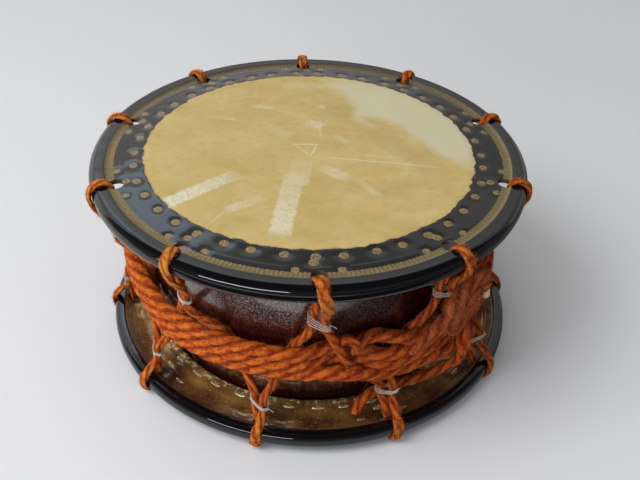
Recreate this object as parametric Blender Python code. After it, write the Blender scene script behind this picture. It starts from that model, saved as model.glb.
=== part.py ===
"""Shime daiko: a low barrel drum with two flanged heads laced together by one rope.

Units are metres, +Z is up. The drum stands on the ten flattened rope loops under its bottom
rim, and the origin is on the floor under the middle of the bottom head. The top head sits a
little to the left of it, and the shell between the two. Azimuths are measured round the shell
from +X, so the front of the drum is at -90 degrees.

Every dimension that can be set by itself is named below and written once.
"""

import math

import bpy
import numpy as np

# Heads: hide stretched over an iron ring, folded back as a flange and sewn
RIM_RADIUS = 0.175
ROLL_RADIUS = 0.0070
HIDE = 0.0015
SKIN_RISE = 0.0073
SHOULDER_INSET = 0.025
GROOVE_INSET = 0.017
GROOVE_RISE = 0.0039
FLANGE_REACH = 0.0395
BEAD_INSET = 0.0035
BEAD_DROP = 0.0034
FLANGE_DROP = 0.0022
HEAD_SPACING = 0.1464
HEAD_SHIFT = 0.0037

# Rope holes through both layers of each head
LOOPS = 10
TOP_LOOP_AZIMUTH = math.radians(-87.0)
BOTTOM_LOOP_AZIMUTH = math.radians(-103.5)
HOLE_INSET = 0.0192
HOLE_RADIUS = 0.0059

# Shell: a wooden barrel, open right through, its mouths just inside the flanges
FLANGE_CLEARANCE = 0.0045
BELLY_SWELL = 0.012
BELLY_FULLNESS = 0.8
WALL = 0.0115
LIP_WIDTH = 0.0065
LIP_SLOPE = 0.009

# Stitching thread's run between the two layers of hide
THREAD_RADIUS = 0.0007
THREAD_INSET = 0.035

# Lacing rope, flattened where it is pulled over the rims
ROPE_RADIUS = 0.0039
FLAT_HALF_WIDTH = 0.0050
FLAT_HALF_DEPTH = 0.0023
HOLE_HALF_WIDTH = 0.0040
FLOOR_CUT = 0.0008

# Strings tied round the two legs of every loop
STRING_RADIUS = 0.0009
TIE_TURNS = 1.5
TIE_SQUEEZE = 0.87
TIE_HALF_HEIGHT = 0.0028
TIE_SPREAD = 0.0038
TIE_INNER_INSET = 0.0185
TIE_OUTER_INSET = 0.0135
# Below the top rim and above the bottom rim, loop by loop from the front round by the right
TOP_TIE_DROPS = (0.036, 0.035, 0.037, 0.038, 0.036, 0.037, 0.038, 0.037, 0.037, 0.040)
BOTTOM_TIE_DROPS = (0.024, 0.029, 0.028, 0.027, 0.026, 0.028, 0.027, 0.027, 0.028, 0.028)

# The band lies low over this bottom loop's legs and pulls its tie in
PULLED_TIE = 1
PULLED_IN = 0.0045

# Tension rope wound round the middle of the lacing
TENSION_RADIUS = 0.0043
BAND_PITCH = 0.0095
BAND_TURNS = 3
BAND_TOP = -0.0004
BAND_STEP = 0.09
BAND_START_AZIMUTH = math.radians(-76.0)
BAND_END_TURN = 3.045
HITCH_TURNS = 0.67
# Where the band rides up on the left, behind the first loops
BUMP_RISE = 0.014
BUMP_AZIMUTH = math.radians(-168.0)
BUMP_HALF_WIDTH = math.radians(24.0)

# Bow of left-over rope on the right, its knot, tail and bound tip
BOW_RADIUS = 0.0040
BOW_AZIMUTH = math.radians(-45.0)
BOW_RISE = 0.0148
BOW_SLOPE = math.radians(30.0)
BOW_SPACE = 0.0014
BOW_LEAN = 0.35
BOW_LEAN_MOST = 0.0062
KNOT_AZIMUTH = math.radians(-41.5)
KNOT_RISE = -0.0204
KNOT_LOOP_RADIUS = 0.0070
KNOT_OUT = 0.0061
KNOT_SLOPE_SAVED = 0.0010
TIP_LENGTH = 0.018
TIP_END_RADIUS = 0.0026

# Spaces and facets
GAP = 0.0004
SEGMENTS = 50
ROLL_ARC_POINTS = 6
ROPE_SIDES = 6
STRING_SIDES = 4

ROLL_CENTRE = RIM_RADIUS - ROLL_RADIUS
HALF_SPACING = HEAD_SPACING / 2
FLANGE_EDGE = RIM_RADIUS - FLANGE_REACH - BEAD_INSET
MOUTH_RADIUS = FLANGE_EDGE - FLANGE_CLEARANCE
BELLY_RADIUS = MOUTH_RADIUS + BELLY_SWELL
BORE_RADIUS = MOUTH_RADIUS - WALL
HUG = ROLL_RADIUS + GAP + FLAT_HALF_DEPTH
FACET = math.cos(math.pi / ROPE_SIDES)
MIDDLE = HALF_SPACING + 1.02 * HUG + FLAT_HALF_DEPTH * FACET - FLOOR_CUT
LEG_RADIUS = BELLY_RADIUS + ROPE_RADIUS + GAP
BAND_FACETS = 24
BAND_RADIUS = (LEG_RADIUS + (ROPE_RADIUS + TENSION_RADIUS) * FACET + 2 * GAP)
BAND_RADIUS /= math.cos(math.pi / BAND_FACETS)
BAND_LOW = BAND_TOP - BAND_PITCH * (BAND_TURNS - 1)
BOW_PITCH = 2 * BOW_RADIUS + BOW_SPACE
TOP = {"side": 1.0, "shift": -HEAD_SHIFT / 2, "phase": TOP_LOOP_AZIMUTH}
BOTTOM = {"side": -1.0, "shift": HEAD_SHIFT / 2, "phase": BOTTOM_LOOP_AZIMUTH}


def clear_scene():
    for old in list(bpy.data.objects):
        bpy.data.objects.remove(old, do_unlink=True)


def finish(name, colour, roughness, metallic=0.0):
    """A Principled material with one sRGB colour, turned to linear."""
    made = bpy.data.materials.new(name)
    made.use_nodes = True
    shader = made.node_tree.nodes["Principled BSDF"]
    linear = [c / 12.92 if c <= 0.04045 else ((c + 0.055) / 1.055) ** 2.4 for c in colour]
    shader.inputs["Base Color"].default_value = (*linear, 1.0)
    shader.inputs["Roughness"].default_value = roughness
    shader.inputs["Metallic"].default_value = metallic
    return made


def add_object(name, points, faces, material, edge_angle=40.0):
    """Makes an object from points measured from the shell's axis."""
    points = np.asarray(points, dtype=float) - [HEAD_SHIFT / 2, 0.0, 0.0]
    mesh = bpy.data.meshes.new(name)
    mesh.from_pydata([tuple(p) for p in points], [], faces)
    mesh.materials.append(material)
    mesh.shade_smooth()
    mesh.set_sharp_from_angle(angle=math.radians(edge_angle))
    made = bpy.data.objects.new(name, mesh)
    bpy.context.collection.objects.link(made)
    return made


def turned(name, profile, material, phase=0.0, shift=0.0, segments=SEGMENTS):
    """Turns a profile of (radius, height) pairs about the upright axis.

    A profile that starts and ends on the axis closes over its two poles; any other is a loop.
    It runs so that the solid lies to its right, which points the faces outwards.
    """
    on_axis = profile[0][0] == 0.0
    ring = profile[1:-1] if on_axis else profile
    turns = phase + np.arange(segments) * 2 * math.pi / segments
    radii, heights = np.array(ring).T
    points = np.stack([
        shift + np.outer(np.cos(turns), radii),
        np.outer(np.sin(turns), radii),
        np.tile(heights, (segments, 1)),
    ], axis=-1).reshape(-1, 3).tolist()
    count = len(ring)
    faces = []
    for i in range(segments):
        here, after = i * count, (i + 1) % segments * count
        for j in range(count - 1 if on_axis else count):
            k = (j + 1) % count
            faces.append((here + j, here + k, after + k, after + j))
    if on_axis:
        first = len(points)
        points += [(shift, 0.0, profile[0][1]), (shift, 0.0, profile[-1][1])]
        for i in range(segments):
            here, after = i * count, (i + 1) % segments * count
            faces.append((first, here, after))
            faces.append((first + 1, after + count - 1, here + count - 1))
    return add_object(name, points, faces, material)


def unit(rows):
    return rows / np.linalg.norm(rows, axis=-1, keepdims=True)


def tube(name, path, hints, widths, depths, sides, material, floor=None):
    """Carries an oval along a path: each ring's width lies along its hint, square to the path."""
    path, hints = np.asarray(path), np.asarray(hints)
    along = np.gradient(path, axis=0)
    along[1:-1] = unit(path[2:] - path[1:-1]) + unit(path[1:-1] - path[:-2])
    along = unit(along)
    across = unit(hints - along * np.sum(hints * along, axis=1, keepdims=True))
    out = np.cross(along, across)
    turns = np.arange(sides) * 2 * math.pi / sides
    rings = (path[:, None]
             + across[:, None] * (np.outer(widths, np.cos(turns)))[..., None]
             + out[:, None] * (np.outer(depths, np.sin(turns)))[..., None])
    if floor is not None:
        rings[..., 2] = np.maximum(rings[..., 2], floor)
    faces = []
    for i in range(len(path) - 1):
        here, after = i * sides, (i + 1) * sides
        for j in range(sides):
            k = (j + 1) % sides
            faces.append((here + j, here + k, after + k, after + j))
    last = (len(path) - 1) * sides
    faces.append(tuple(reversed(range(sides))))
    faces.append(tuple(range(last, last + sides)))
    return add_object(name, rings.reshape(-1, 3), faces, material)


def radial(azimuth):
    return np.array([math.cos(azimuth), math.sin(azimuth), 0.0])


def sideways(azimuth):
    return np.array([-math.sin(azimuth), math.cos(azimuth), 0.0])


UP = np.array([0.0, 0.0, 1.0])


def round_drum(azimuth, radius, rise):
    """A point round the drum, its rise measured from the drum's middle height."""
    return radial(azimuth) * radius + UP * (MIDDLE + rise)


def at_head(head, azimuth, radius, rise, along=0.0):
    """A point at a head, its rise measured outwards from the middle of the head's rim."""
    centre = np.array([head["shift"], 0.0, MIDDLE + head["side"] * (HALF_SPACING + rise)])
    return centre + radial(azimuth) * radius + sideways(azimuth) * along


def head_profile():
    """The head's section from the skin's centre, over the rim and along the flange and back."""
    def arc(radius, start, end, steps):
        angles = np.radians(np.linspace(start, end, steps))
        return [(ROLL_CENTRE + radius * math.cos(a), radius * math.sin(a)) for a in angles]

    edge = FLANGE_EDGE
    bead = edge + BEAD_INSET
    foot = bead + (ROLL_CENTRE - bead) * 0.25
    outer = [(0.0, SKIN_RISE), (RIM_RADIUS - SHOULDER_INSET, SKIN_RISE)]
    outer += [(RIM_RADIUS - GROOVE_INSET, GROOVE_RISE)]
    outer += arc(ROLL_RADIUS, 122.0, -100.0, 8)
    outer += [(foot, -FLANGE_DROP), (bead, -BEAD_DROP), (edge, -FLANGE_DROP)]
    inner = [(edge, HIDE - FLANGE_DROP), (bead, HIDE - BEAD_DROP), (foot, HIDE - FLANGE_DROP)]
    inner += arc(ROLL_RADIUS - HIDE, -110.0, 130.0, ROLL_ARC_POINTS)
    inner += [(RIM_RADIUS - GROOVE_INSET, GROOVE_RISE - HIDE)]
    inner += [(RIM_RADIUS - SHOULDER_INSET, SKIN_RISE - HIDE), (0.0, SKIN_RISE - HIDE)]
    return outer + inner


def hole_cutter(head, name):
    """Ten upright pins, one for each rope hole."""
    sides = 10
    reach = 2 * ROLL_RADIUS + SKIN_RISE
    points, faces = [], []
    for n in range(LOOPS):
        azimuth = head["phase"] + n * 2 * math.pi / LOOPS
        base = len(points)
        for end in (-1.0, 1.0):
            for s in range(sides):
                turn = 2 * math.pi * (s + 0.5) / sides
                spot = at_head(head, azimuth, RIM_RADIUS - HOLE_INSET, 0.0)
                spot = spot + HOLE_RADIUS * np.array([math.cos(turn), math.sin(turn), 0.0])
                points.append(spot + UP * reach * end)
        faces.append(tuple(base + s for s in reversed(range(sides))))
        faces.append(tuple(base + sides + s for s in range(sides)))
        for s in range(sides):
            k = (s + 1) % sides
            faces.append((base + s, base + k, base + sides + k, base + sides + s))
    cutter = add_object(name, points, faces, None)
    cutter.hide_render = True
    cutter.display_type = "WIRE"
    return cutter


def make_head(head, name, material):
    rows = [(r, MIDDLE + head["side"] * (HALF_SPACING + z)) for r, z in head_profile()]
    if head["side"] < 0:
        rows.reverse()
    skin = turned(name, rows, material, head["phase"], head["shift"])
    cut = skin.modifiers.new("rope_holes", "BOOLEAN")
    cut.operation = "DIFFERENCE"
    cut.solver = "EXACT"
    cut.object = hole_cutter(head, name + "_holes")
    return skin


def ring_of_wire(head, name, radius, rise, wire, sides, material):
    """A closed ring of round bar lying level in a head."""
    turns = np.arange(sides) * 2 * math.pi / sides
    height = MIDDLE + head["side"] * (HALF_SPACING + rise)
    loop = [(radius + wire * math.cos(a), height - wire * math.sin(a)) for a in turns]
    return turned(name, loop, material, head["phase"], head["shift"])


def shell_profile():
    half = HALF_SPACING + SKIN_RISE - HIDE - GAP
    heights = np.linspace(half, -half, 11)
    swell = ((1 + np.cos(np.pi * heights / half)) / 2) ** BELLY_FULLNESS
    outer = MOUTH_RADIUS + (BELLY_RADIUS - MOUTH_RADIUS) * swell
    rows = [(r, z) for r, z in zip(outer, heights)]
    rows += [(MOUTH_RADIUS - LIP_WIDTH, -half), (BORE_RADIUS, LIP_SLOPE - half)]
    rows += [(BORE_RADIUS, half - LIP_SLOPE), (MOUTH_RADIUS - LIP_WIDTH, half)]
    return [(r, MIDDLE + z) for r, z in rows]


def tie_radii(head, number):
    """How far out the inner and the outer leg lie at a tie."""
    pull = PULLED_IN if head is BOTTOM and number == PULLED_TIE else 0.0
    return RIM_RADIUS - TIE_INNER_INSET - pull, RIM_RADIUS - TIE_OUTER_INSET - pull


def loop_over_rim(head, number, drop):
    """One rim pass of the lacing: up from the tie, out through the hole, round to the tie."""
    azimuth = head["phase"] + number * 2 * math.pi / LOOPS
    inner, outer = tie_radii(head, number)
    squeeze = ROPE_RADIUS * TIE_SQUEEZE
    hole = RIM_RADIUS - HOLE_INSET + 0.0019
    rows = [(inner, end - drop, -TIE_SPREAD, squeeze, squeeze)
            for end in (-TIE_HALF_HEIGHT, TIE_HALF_HEIGHT)]
    rows += [
        (hole - 0.0002, -drop * 0.5, -TIE_SPREAD * 0.5, ROPE_RADIUS, ROPE_RADIUS),
        (hole, -0.0060, 0.0, HOLE_HALF_WIDTH, FLAT_HALF_DEPTH * 1.08),
        (hole, 0.0045, 0.0, HOLE_HALF_WIDTH, FLAT_HALF_DEPTH),
    ]
    width, depth = FLAT_HALF_WIDTH, FLAT_HALF_DEPTH
    over = ((-0.87, 0.87), (-0.46, 1.02), (0.05, 1.02), (0.50, 0.87), (0.87, 0.50), (1.0, 0.0))
    rows += [(ROLL_CENTRE + HUG * u, HUG * v, 0.0, width, depth) for u, v in over]
    rows += [
        (ROLL_CENTRE + HUG * 0.98, -HUG * 0.40, 0.0003, width * 0.9, depth * 1.1),
    ]
    rows += [(outer, end - drop, TIE_SPREAD, squeeze, squeeze)
             for end in (TIE_HALF_HEIGHT, -TIE_HALF_HEIGHT)]
    points = [at_head(head, azimuth, r, rise, along) for r, rise, along, _, _ in rows]
    return points, [row[3] for row in rows], [row[4] for row in rows]


def smooth_step(value):
    value = min(max(value, 0.0), 1.0)
    return value * value * (3 - 2 * value)


def turned_by(azimuth, origin):
    """How far an azimuth lies from another, from minus half a turn to half a turn."""
    return (azimuth - origin + math.pi) % (2 * math.pi) - math.pi


def bump(azimuth):
    return BUMP_RISE * math.exp(-((turned_by(azimuth, BUMP_AZIMUTH) / BUMP_HALF_WIDTH) ** 4))


def leg_between(start, end):
    """A leg of the lacing between two ties, pulled in to the shell by the tension rope."""
    first, last = math.atan2(start[1], start[0]), math.atan2(end[1], end[0])
    last = first + turned_by(last, first)

    def azimuth_at(rise):
        return first + (last - first) * (MIDDLE + rise - start[2]) / (end[2] - start[2])

    bends = [
        (BAND_TOP + 0.0085, LEG_RADIUS + 0.0030),
        (BAND_TOP + 0.0028, LEG_RADIUS + 0.0003),
        (BAND_LOW - 0.0028, LEG_RADIUS + 0.0003),
        (BAND_LOW - 0.0085, LEG_RADIUS + 0.0030),
    ]
    fourth = BAND_LOW - BAND_PITCH
    if 0 < turned_by(azimuth_at(fourth), BAND_START_AZIMUTH) < math.radians(32):
        bends[2:] = [(fourth, LEG_RADIUS + 0.0002), (fourth - 0.0040, LEG_RADIUS + 0.0016)]
    if start[2] < end[2]:
        bends.reverse()
    points = []
    for rise, radius in bends:
        rise += bump(azimuth_at(rise + bump(azimuth_at(rise))))
        points.append(round_drum(azimuth_at(rise), radius, rise))
    return points


# The leg at the front that passes over two turns of the tension rope and under the third
CROSSING_AZIMUTH = math.radians(-80.3)
CROSSING_LEG = (
    (-84.2, LEG_RADIUS + 0.0128, 0.0250),
    (-82.4, LEG_RADIUS + 0.0101, 0.0140),
    (-81.2, LEG_RADIUS + 0.0096, 0.0050),
    (-79.3, LEG_RADIUS + 0.0096, -0.0110),
    (-78.7, LEG_RADIUS + 0.0082, -0.0155),
    (-76.8, LEG_RADIUS + 0.0008, -0.0265),
    (-74.6, LEG_RADIUS + 0.0010, -0.0305),
    (-70.1, LEG_RADIUS + 0.0056, -0.0360),
)


def lacing_route():
    """The whole lacing, from a tie at the back once round the drum to the same tie."""
    points, widths, depths = [], [], []
    first_loop = LOOPS // 2
    for n in range(LOOPS):
        k = (first_loop + n) % LOOPS
        top = loop_over_rim(TOP, k, TOP_TIE_DROPS[k])
        m = (k + 1) % LOOPS
        low = loop_over_rim(BOTTOM, m, BOTTOM_TIE_DROPS[m])
        after = loop_over_rim(TOP, m, TOP_TIE_DROPS[m])
        if k == 0:
            down = [round_drum(math.radians(a), r, z) for a, r, z in CROSSING_LEG]
        else:
            down = leg_between(top[0][-1], low[0][0])
        up = leg_between(low[0][-1], after[0][0])
        for part in (top, (down, None, None), low, (up, None, None)):
            points += part[0]
            widths += part[1] or [ROPE_RADIUS] * len(part[0])
            depths += part[2] or [ROPE_RADIUS] * len(part[0])
    # the two ends butt together inside the string of the loop at the back
    start, into = points[0], UP * TIE_HALF_HEIGHT
    points = [start + into + UP * GAP] + points[1:] + [start, start + into - UP * GAP / 2]
    return points, widths + widths[:1] * 2, depths + depths[:1] * 2


def sideways_at(points):
    return [sideways(math.atan2(p[1], p[0])) for p in points]


def make_tie(head, number, drop, name, material):
    """A string wound round the two legs of one loop, as one short coil of oval turns."""
    azimuth = head["phase"] + number * 2 * math.pi / LOOPS
    radii = tie_radii(head, number)
    inner = at_head(head, azimuth, radii[0], -drop, -TIE_SPREAD)
    outer = at_head(head, azimuth, radii[1], -drop, TIE_SPREAD)
    middle, apart = (inner + outer) / 2, outer - inner
    long_way = unit(apart)
    short_way = np.cross(UP, long_way)
    hug = ROPE_RADIUS * TIE_SQUEEZE + GAP + STRING_RADIUS
    steps = 11
    count = int(TIE_TURNS * steps) + 1
    turns = np.arange(count) * 2 * math.pi / steps
    # a rounded oval: the flats between the two legs bulge out a little past a plain ellipse
    bulge = (np.abs(np.cos(turns)) ** 2.6 + np.abs(np.sin(turns)) ** 2.6) ** (-1 / 2.6)
    wide = (np.linalg.norm(apart) / 2 + hug + 2 * GAP) * bulge * np.cos(turns)
    slim = (hug + 3 * GAP) * bulge * np.sin(turns)
    rise = (np.arange(count) / steps - TIE_TURNS / 2) * (2 * STRING_RADIUS + 2 * GAP)
    path = middle + np.outer(wide, long_way) + np.outer(slim, short_way) + np.outer(rise, UP)
    hints = np.tile(UP, (count, 1))
    size = [STRING_RADIUS * math.sqrt(2)] * count
    return tube(name, path, hints, size, size, STRING_SIDES, material)


def band_point(turn):
    """The tension rope after so many turns; it dips under the crossing leg at the front."""
    azimuth = BAND_START_AZIMUTH + 2 * math.pi * turn
    level = sum(smooth_step((turn - k) / BAND_STEP + 0.5) for k in range(BAND_TURNS + 1)) - 1
    radius, rise = BAND_RADIUS, BAND_TOP - BAND_PITCH * level + bump(azimuth)
    near = math.exp(-((turned_by(azimuth, CROSSING_AZIMUTH) / math.radians(8.0)) ** 4))
    crossing = round(turn)
    if 1 <= crossing < BAND_TURNS:
        radius -= (BAND_RADIUS - BELLY_RADIUS - TENSION_RADIUS - 1.5 * GAP) * near
        rise += 0.0014 * near
    if crossing == BAND_TURNS:
        radius += 0.0022 * near
        rise -= 0.0042 * near
    if crossing == 0:
        radius -= 0.0052 * (1 - smooth_step(turn * 26))
        rise += 0.0032 * near
    return round_drum(azimuth, radius, rise)


def leg_at(rise):
    """The crossing leg's azimuth and radius at a height, between its chosen points."""
    rows = sorted(CROSSING_LEG, key=lambda row: row[2])
    heights = [row[2] for row in rows]
    azimuth = math.radians(np.interp(rise, heights, [row[0] for row in rows]))
    return azimuth, float(np.interp(rise, heights, [row[1] for row in rows]))


# The band's last strand, from under the bow to the knot on the right
LOWER_STRAND = (
    (-54.0, BAND_RADIUS + 0.0014, -0.0286),
    (-49.0, BAND_RADIUS + 0.0036, -0.0284),
)

# The tail, from the knot down to the flange, behind two legs and out again
TAIL_ROUTE = (
    (-44.3, BAND_RADIUS + 0.0152, -0.0280),
    (-44.5, BAND_RADIUS + 0.0130, -0.0375),
    (-45.6, BAND_RADIUS + 0.0075, -0.0450),
    (-49.0, BAND_RADIUS + 0.0015, -0.0515),
    (-53.0, BAND_RADIUS - 0.0025, -0.0535),
    (-57.5, BAND_RADIUS - 0.0050, -0.0540),
    (-62.0, BAND_RADIUS - 0.0062, -0.0540),
    (-67.0, BAND_RADIUS - 0.0064, -0.0535),
    (-71.2, BAND_RADIUS - 0.0050, -0.0540),
    (-74.3, BAND_RADIUS - 0.0010, -0.0580),
    (-76.3, BAND_RADIUS + 0.0032, -0.0640),
)


def knot_loop():
    """One loop that crosses over the strand it comes from."""
    points = []
    for angle in np.radians(np.linspace(-90.0, 180.0, 10)):
        part = (angle + math.pi / 2) / (1.5 * math.pi)
        radius = BAND_RADIUS + KNOT_OUT + part * (2 * TENSION_RADIUS + GAP - KNOT_SLOPE_SAVED)
        azimuth = KNOT_AZIMUTH + KNOT_LOOP_RADIUS * math.cos(angle) / radius
        points.append(round_drum(azimuth, radius, KNOT_RISE + KNOT_LOOP_RADIUS * math.sin(angle)))
    return points


def tension_route():
    """The hitch round the crossing leg, the turns round the drum, the knot and the tail."""
    points = []
    hug = (ROPE_RADIUS + TENSION_RADIUS + GAP) * 1.10
    steps = 12
    count = round(HITCH_TURNS * steps)
    begin = band_point(-0.012)[2] - MIDDLE
    for i in range(count + 1):
        left = (count - i) / steps
        rise = begin + left * (2 * TENSION_RADIUS + GAP)
        azimuth, radius = leg_at(rise)
        turn = math.pi - 2 * math.pi * left
        step = math.cos(turn) * radial(azimuth) - math.sin(turn) * sideways(azimuth)
        points.append(round_drum(azimuth, radius, rise) + hug * step)
    stops = list(np.arange(0.0, BAND_END_TURN, 1 / BAND_FACETS))
    for n in range(1, BAND_TURNS + 1):
        middle = n + math.degrees(CROSSING_AZIMUTH - BAND_START_AZIMUTH) / 360
        stops += [middle + d / 360 for d in (-11, -7.5, -3.5, 0, 3.5, 7.5, 11)]
    stops = sorted(s for s in stops if s < BAND_END_TURN) + [BAND_END_TURN]
    kept = [stops[0]]
    for stop in stops[1:]:
        if stop - kept[-1] > 2.4 / 360:
            kept.append(stop)
    points += [band_point(s) for s in kept]
    points += [round_drum(math.radians(a), r, z) for a, r, z in LOWER_STRAND]
    points += knot_loop()
    return points + [round_drum(math.radians(a), r, z) for a, r, z in TAIL_ROUTE]


def on_bow(along, across):
    """A point of the bow's own plane, laid on the cylinder outside the band."""
    s = along * math.cos(BOW_SLOPE) + across * math.sin(BOW_SLOPE)
    rise = BOW_RISE + along * math.sin(BOW_SLOPE) - across * math.cos(BOW_SLOPE)
    radius = BAND_RADIUS + (TENSION_RADIUS + BOW_RADIUS) * FACET + GAP / 2
    radius += min(max(0.0, rise - 0.008) * BOW_LEAN, BOW_LEAN_MOST)
    return round_drum(BOW_AZIMUTH + s / radius, radius, rise)


def bow_route():
    """Five strands side by side: in at the left, to and fro, and down to the tip on the right."""
    p = BOW_PITCH

    def half_turn(from_across, to_across, end, side, steps):
        middle, radius = (from_across + to_across) / 2, (to_across - from_across) / 2
        return [on_bow(end + side * abs(radius) * math.sin(a), middle - radius * math.cos(a))
                for a in np.linspace(0.0, math.pi, steps)]

    points = [on_bow(3.30 * p, 0.8 * p), on_bow(3.32 * p, -0.2 * p), on_bow(3.24 * p, -1.1 * p)]
    points += [on_bow(2.79 * p, -1.75 * p), on_bow(1.91 * p, -2 * p)]
    points += half_turn(-2 * p, -p, 0.21 * p, -1.0, 5)
    points += half_turn(-p, 2 * p, 0.69 * p, 1.0, 8)
    points += half_turn(2 * p, p, -0.21 * p, -1.0, 5)
    points += half_turn(p, 0.0, 0.53 * p, 1.0, 5)
    points += [on_bow(-1.49 * p, 0.0), on_bow(-2.55 * p, 0.02 * p)]
    return points + [on_bow(-4.26 * p, -0.1 * p)]


def carried_hints(points, first, start=0):
    """Side directions carried both ways along a path from one of its points, not twisting."""
    points = np.asarray(points)
    along = unit(np.gradient(points, axis=0))
    hints = [None] * len(points)
    hints[start] = unit(first - along[start] * (first @ along[start]))
    for way in (1, -1):
        i = start + way
        while 0 <= i < len(points):
            hint = hints[i - way]
            hints[i] = unit(hint - along[i] * (hint @ along[i]))
            i += way
    return hints


def make_round_rope(name, points, radius, hints, material):
    size = [radius] * len(points)
    return tube(name, points, hints, size, size, ROPE_SIDES, material)


def make_tip(points, material):
    """The bound, tapering tip on the bow's free end."""
    start, after = points[0], points[1]
    ahead = unit(start - after)
    stops = np.array([0.0, 0.55, 0.85, 1.0])
    sizes = [BOW_RADIUS, BOW_RADIUS * 0.9, (BOW_RADIUS + TIP_END_RADIUS) / 2, TIP_END_RADIUS]
    path = start + np.outer(GAP + stops * TIP_LENGTH, ahead)
    hints = [radial(math.atan2(start[1], start[0]))] * len(stops)
    return tube("tension_rope_tip", path, hints, sizes, sizes, 8, material)


def least_gap(points, radius, closed=False):
    """The least space between two stretches of a rope that are further apart along it.

    The ends of a closed rope butt together, so they count as one stretch.
    """
    points = np.asarray(points)
    steps = np.linalg.norm(np.diff(points, axis=0), axis=1)
    at = np.concatenate([[0.0], np.cumsum(steps)])
    fine = np.linspace(0.0, at[-1], int(at[-1] / (radius * 0.4)))
    dense = np.stack([np.interp(fine, at, points[:, i]) for i in range(3)], axis=1)
    least = math.inf
    skip = int(math.pi * radius * 1.6 / (fine[1] - fine[0]))
    for i in range(len(dense) - skip):
        last = len(dense) - max(0, skip - i) if closed else len(dense)
        away = np.linalg.norm(dense[i + skip:last] - dense[i], axis=1)
        least = min(least, float(away.min()))
    return least - 2 * radius


def build():
    clear_scene()
    wood = finish("lacquered_shell", (0.24, 0.10, 0.08), 0.18)
    hide = finish("lacquered_hide", (0.09, 0.09, 0.10), 0.22)
    iron = finish("forged_iron", (0.25, 0.24, 0.23), 0.55, 1.0)
    thread = finish("hemp_thread", (0.62, 0.50, 0.28), 0.8)
    orange = finish("orange_rope", (0.84, 0.38, 0.12), 0.9)
    string = finish("white_string", (0.82, 0.80, 0.72), 0.85)
    bound = finish("bound_tip", (0.88, 0.80, 0.52), 0.6)

    turned("shell", shell_profile(), wood)
    for head, side in ((TOP, "top"), (BOTTOM, "bottom")):
        make_head(head, side + "_head_skin", hide)
        bar = (ROLL_RADIUS - HIDE) * math.cos(math.radians(120.0 / (ROLL_ARC_POINTS - 1))) - GAP
        ring_of_wire(head, side + "_iron_ring", ROLL_CENTRE, 0.0, bar, 6, iron)
        under = SKIN_RISE - HIDE - GAP - THREAD_RADIUS
        ring_of_wire(head, side + "_stitch_thread", RIM_RADIUS - THREAD_INSET, under,
                     THREAD_RADIUS, STRING_SIDES, thread)

    points, widths, depths = lacing_route()
    tube("lacing_rope", points, sideways_at(points), widths, depths, ROPE_SIDES, orange, floor=0.0)

    for head, side, drops in ((TOP, "top", TOP_TIE_DROPS), (BOTTOM, "bottom", BOTTOM_TIE_DROPS)):
        for number in range(LOOPS):
            make_tie(head, number, drops[number], f"{side}_tie_{number + 1:02d}", string)

    band = tension_route()
    hints = carried_hints(band, UP, len(band) // 3)
    make_round_rope("tension_rope", band, TENSION_RADIUS, hints, orange)
    bow = bow_route()
    make_round_rope("tension_rope_bow", bow, BOW_RADIUS, carried_hints(bow, UP), orange)
    make_tip(bow, bound)
    for name, route, radius, closed in (("lacing_rope", points, ROPE_RADIUS, True),
                                        ("tension_rope", band, TENSION_RADIUS, False),
                                        ("tension_rope_bow", bow, BOW_RADIUS, False)):
        gap = least_gap(route, radius, closed)
        print(f"{name}: least gap to itself {gap * 1000:.2f} mm")


build()
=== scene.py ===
"""Shime daiko: the looks of the drum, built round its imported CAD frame.

Units are metres, +Z is up and the front of the drum faces -Y. A "rise" is a height measured from
the drum's middle, or outwards from the middle of a head's rim. Azimuths run from +X round the
shell's axis. Colours are sRGB hex values.
"""

import math

import bmesh
import bpy
import numpy as np
from mathutils import Matrix, Vector


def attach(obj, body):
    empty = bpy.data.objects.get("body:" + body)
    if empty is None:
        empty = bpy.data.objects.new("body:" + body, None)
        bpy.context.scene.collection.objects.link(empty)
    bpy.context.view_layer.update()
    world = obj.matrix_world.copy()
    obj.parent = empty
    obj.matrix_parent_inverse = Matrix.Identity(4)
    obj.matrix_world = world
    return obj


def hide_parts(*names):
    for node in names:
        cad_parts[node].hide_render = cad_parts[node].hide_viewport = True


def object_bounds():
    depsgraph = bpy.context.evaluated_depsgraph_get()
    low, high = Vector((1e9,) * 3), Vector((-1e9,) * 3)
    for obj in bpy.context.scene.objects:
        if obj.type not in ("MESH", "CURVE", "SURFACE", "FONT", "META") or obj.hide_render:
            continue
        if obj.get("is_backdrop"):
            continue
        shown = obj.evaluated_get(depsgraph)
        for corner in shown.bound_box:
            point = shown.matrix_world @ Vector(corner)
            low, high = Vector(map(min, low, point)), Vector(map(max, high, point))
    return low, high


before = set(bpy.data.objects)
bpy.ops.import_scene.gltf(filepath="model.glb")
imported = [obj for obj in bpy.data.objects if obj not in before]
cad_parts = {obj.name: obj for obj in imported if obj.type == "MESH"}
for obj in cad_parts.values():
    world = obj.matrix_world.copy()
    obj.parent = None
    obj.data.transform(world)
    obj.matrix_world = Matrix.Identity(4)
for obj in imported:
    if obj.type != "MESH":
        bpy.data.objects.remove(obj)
cad_low, cad_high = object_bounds()
scene = bpy.context.scene
scene.view_settings.view_transform = "Standard"

# Camera
# It stands where the photograph was taken from, above the front of the drum. Its place and its lens
# were worked out from the outlines of the two rims, the edge of the bare skin and the rope holes.
CAMERA_PLACE = (-0.0037, -0.57872, 0.509456)
CAMERA_RIGHT = (0.99959694, 0.00245423, 0.02828298)
CAMERA_UP = (-0.02404762, 0.60269418, 0.79760983)
CAMERA_AHEAD = (0.01508847, 0.79796849, -0.60251027)
CAMERA_LENS = 46.53

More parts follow.
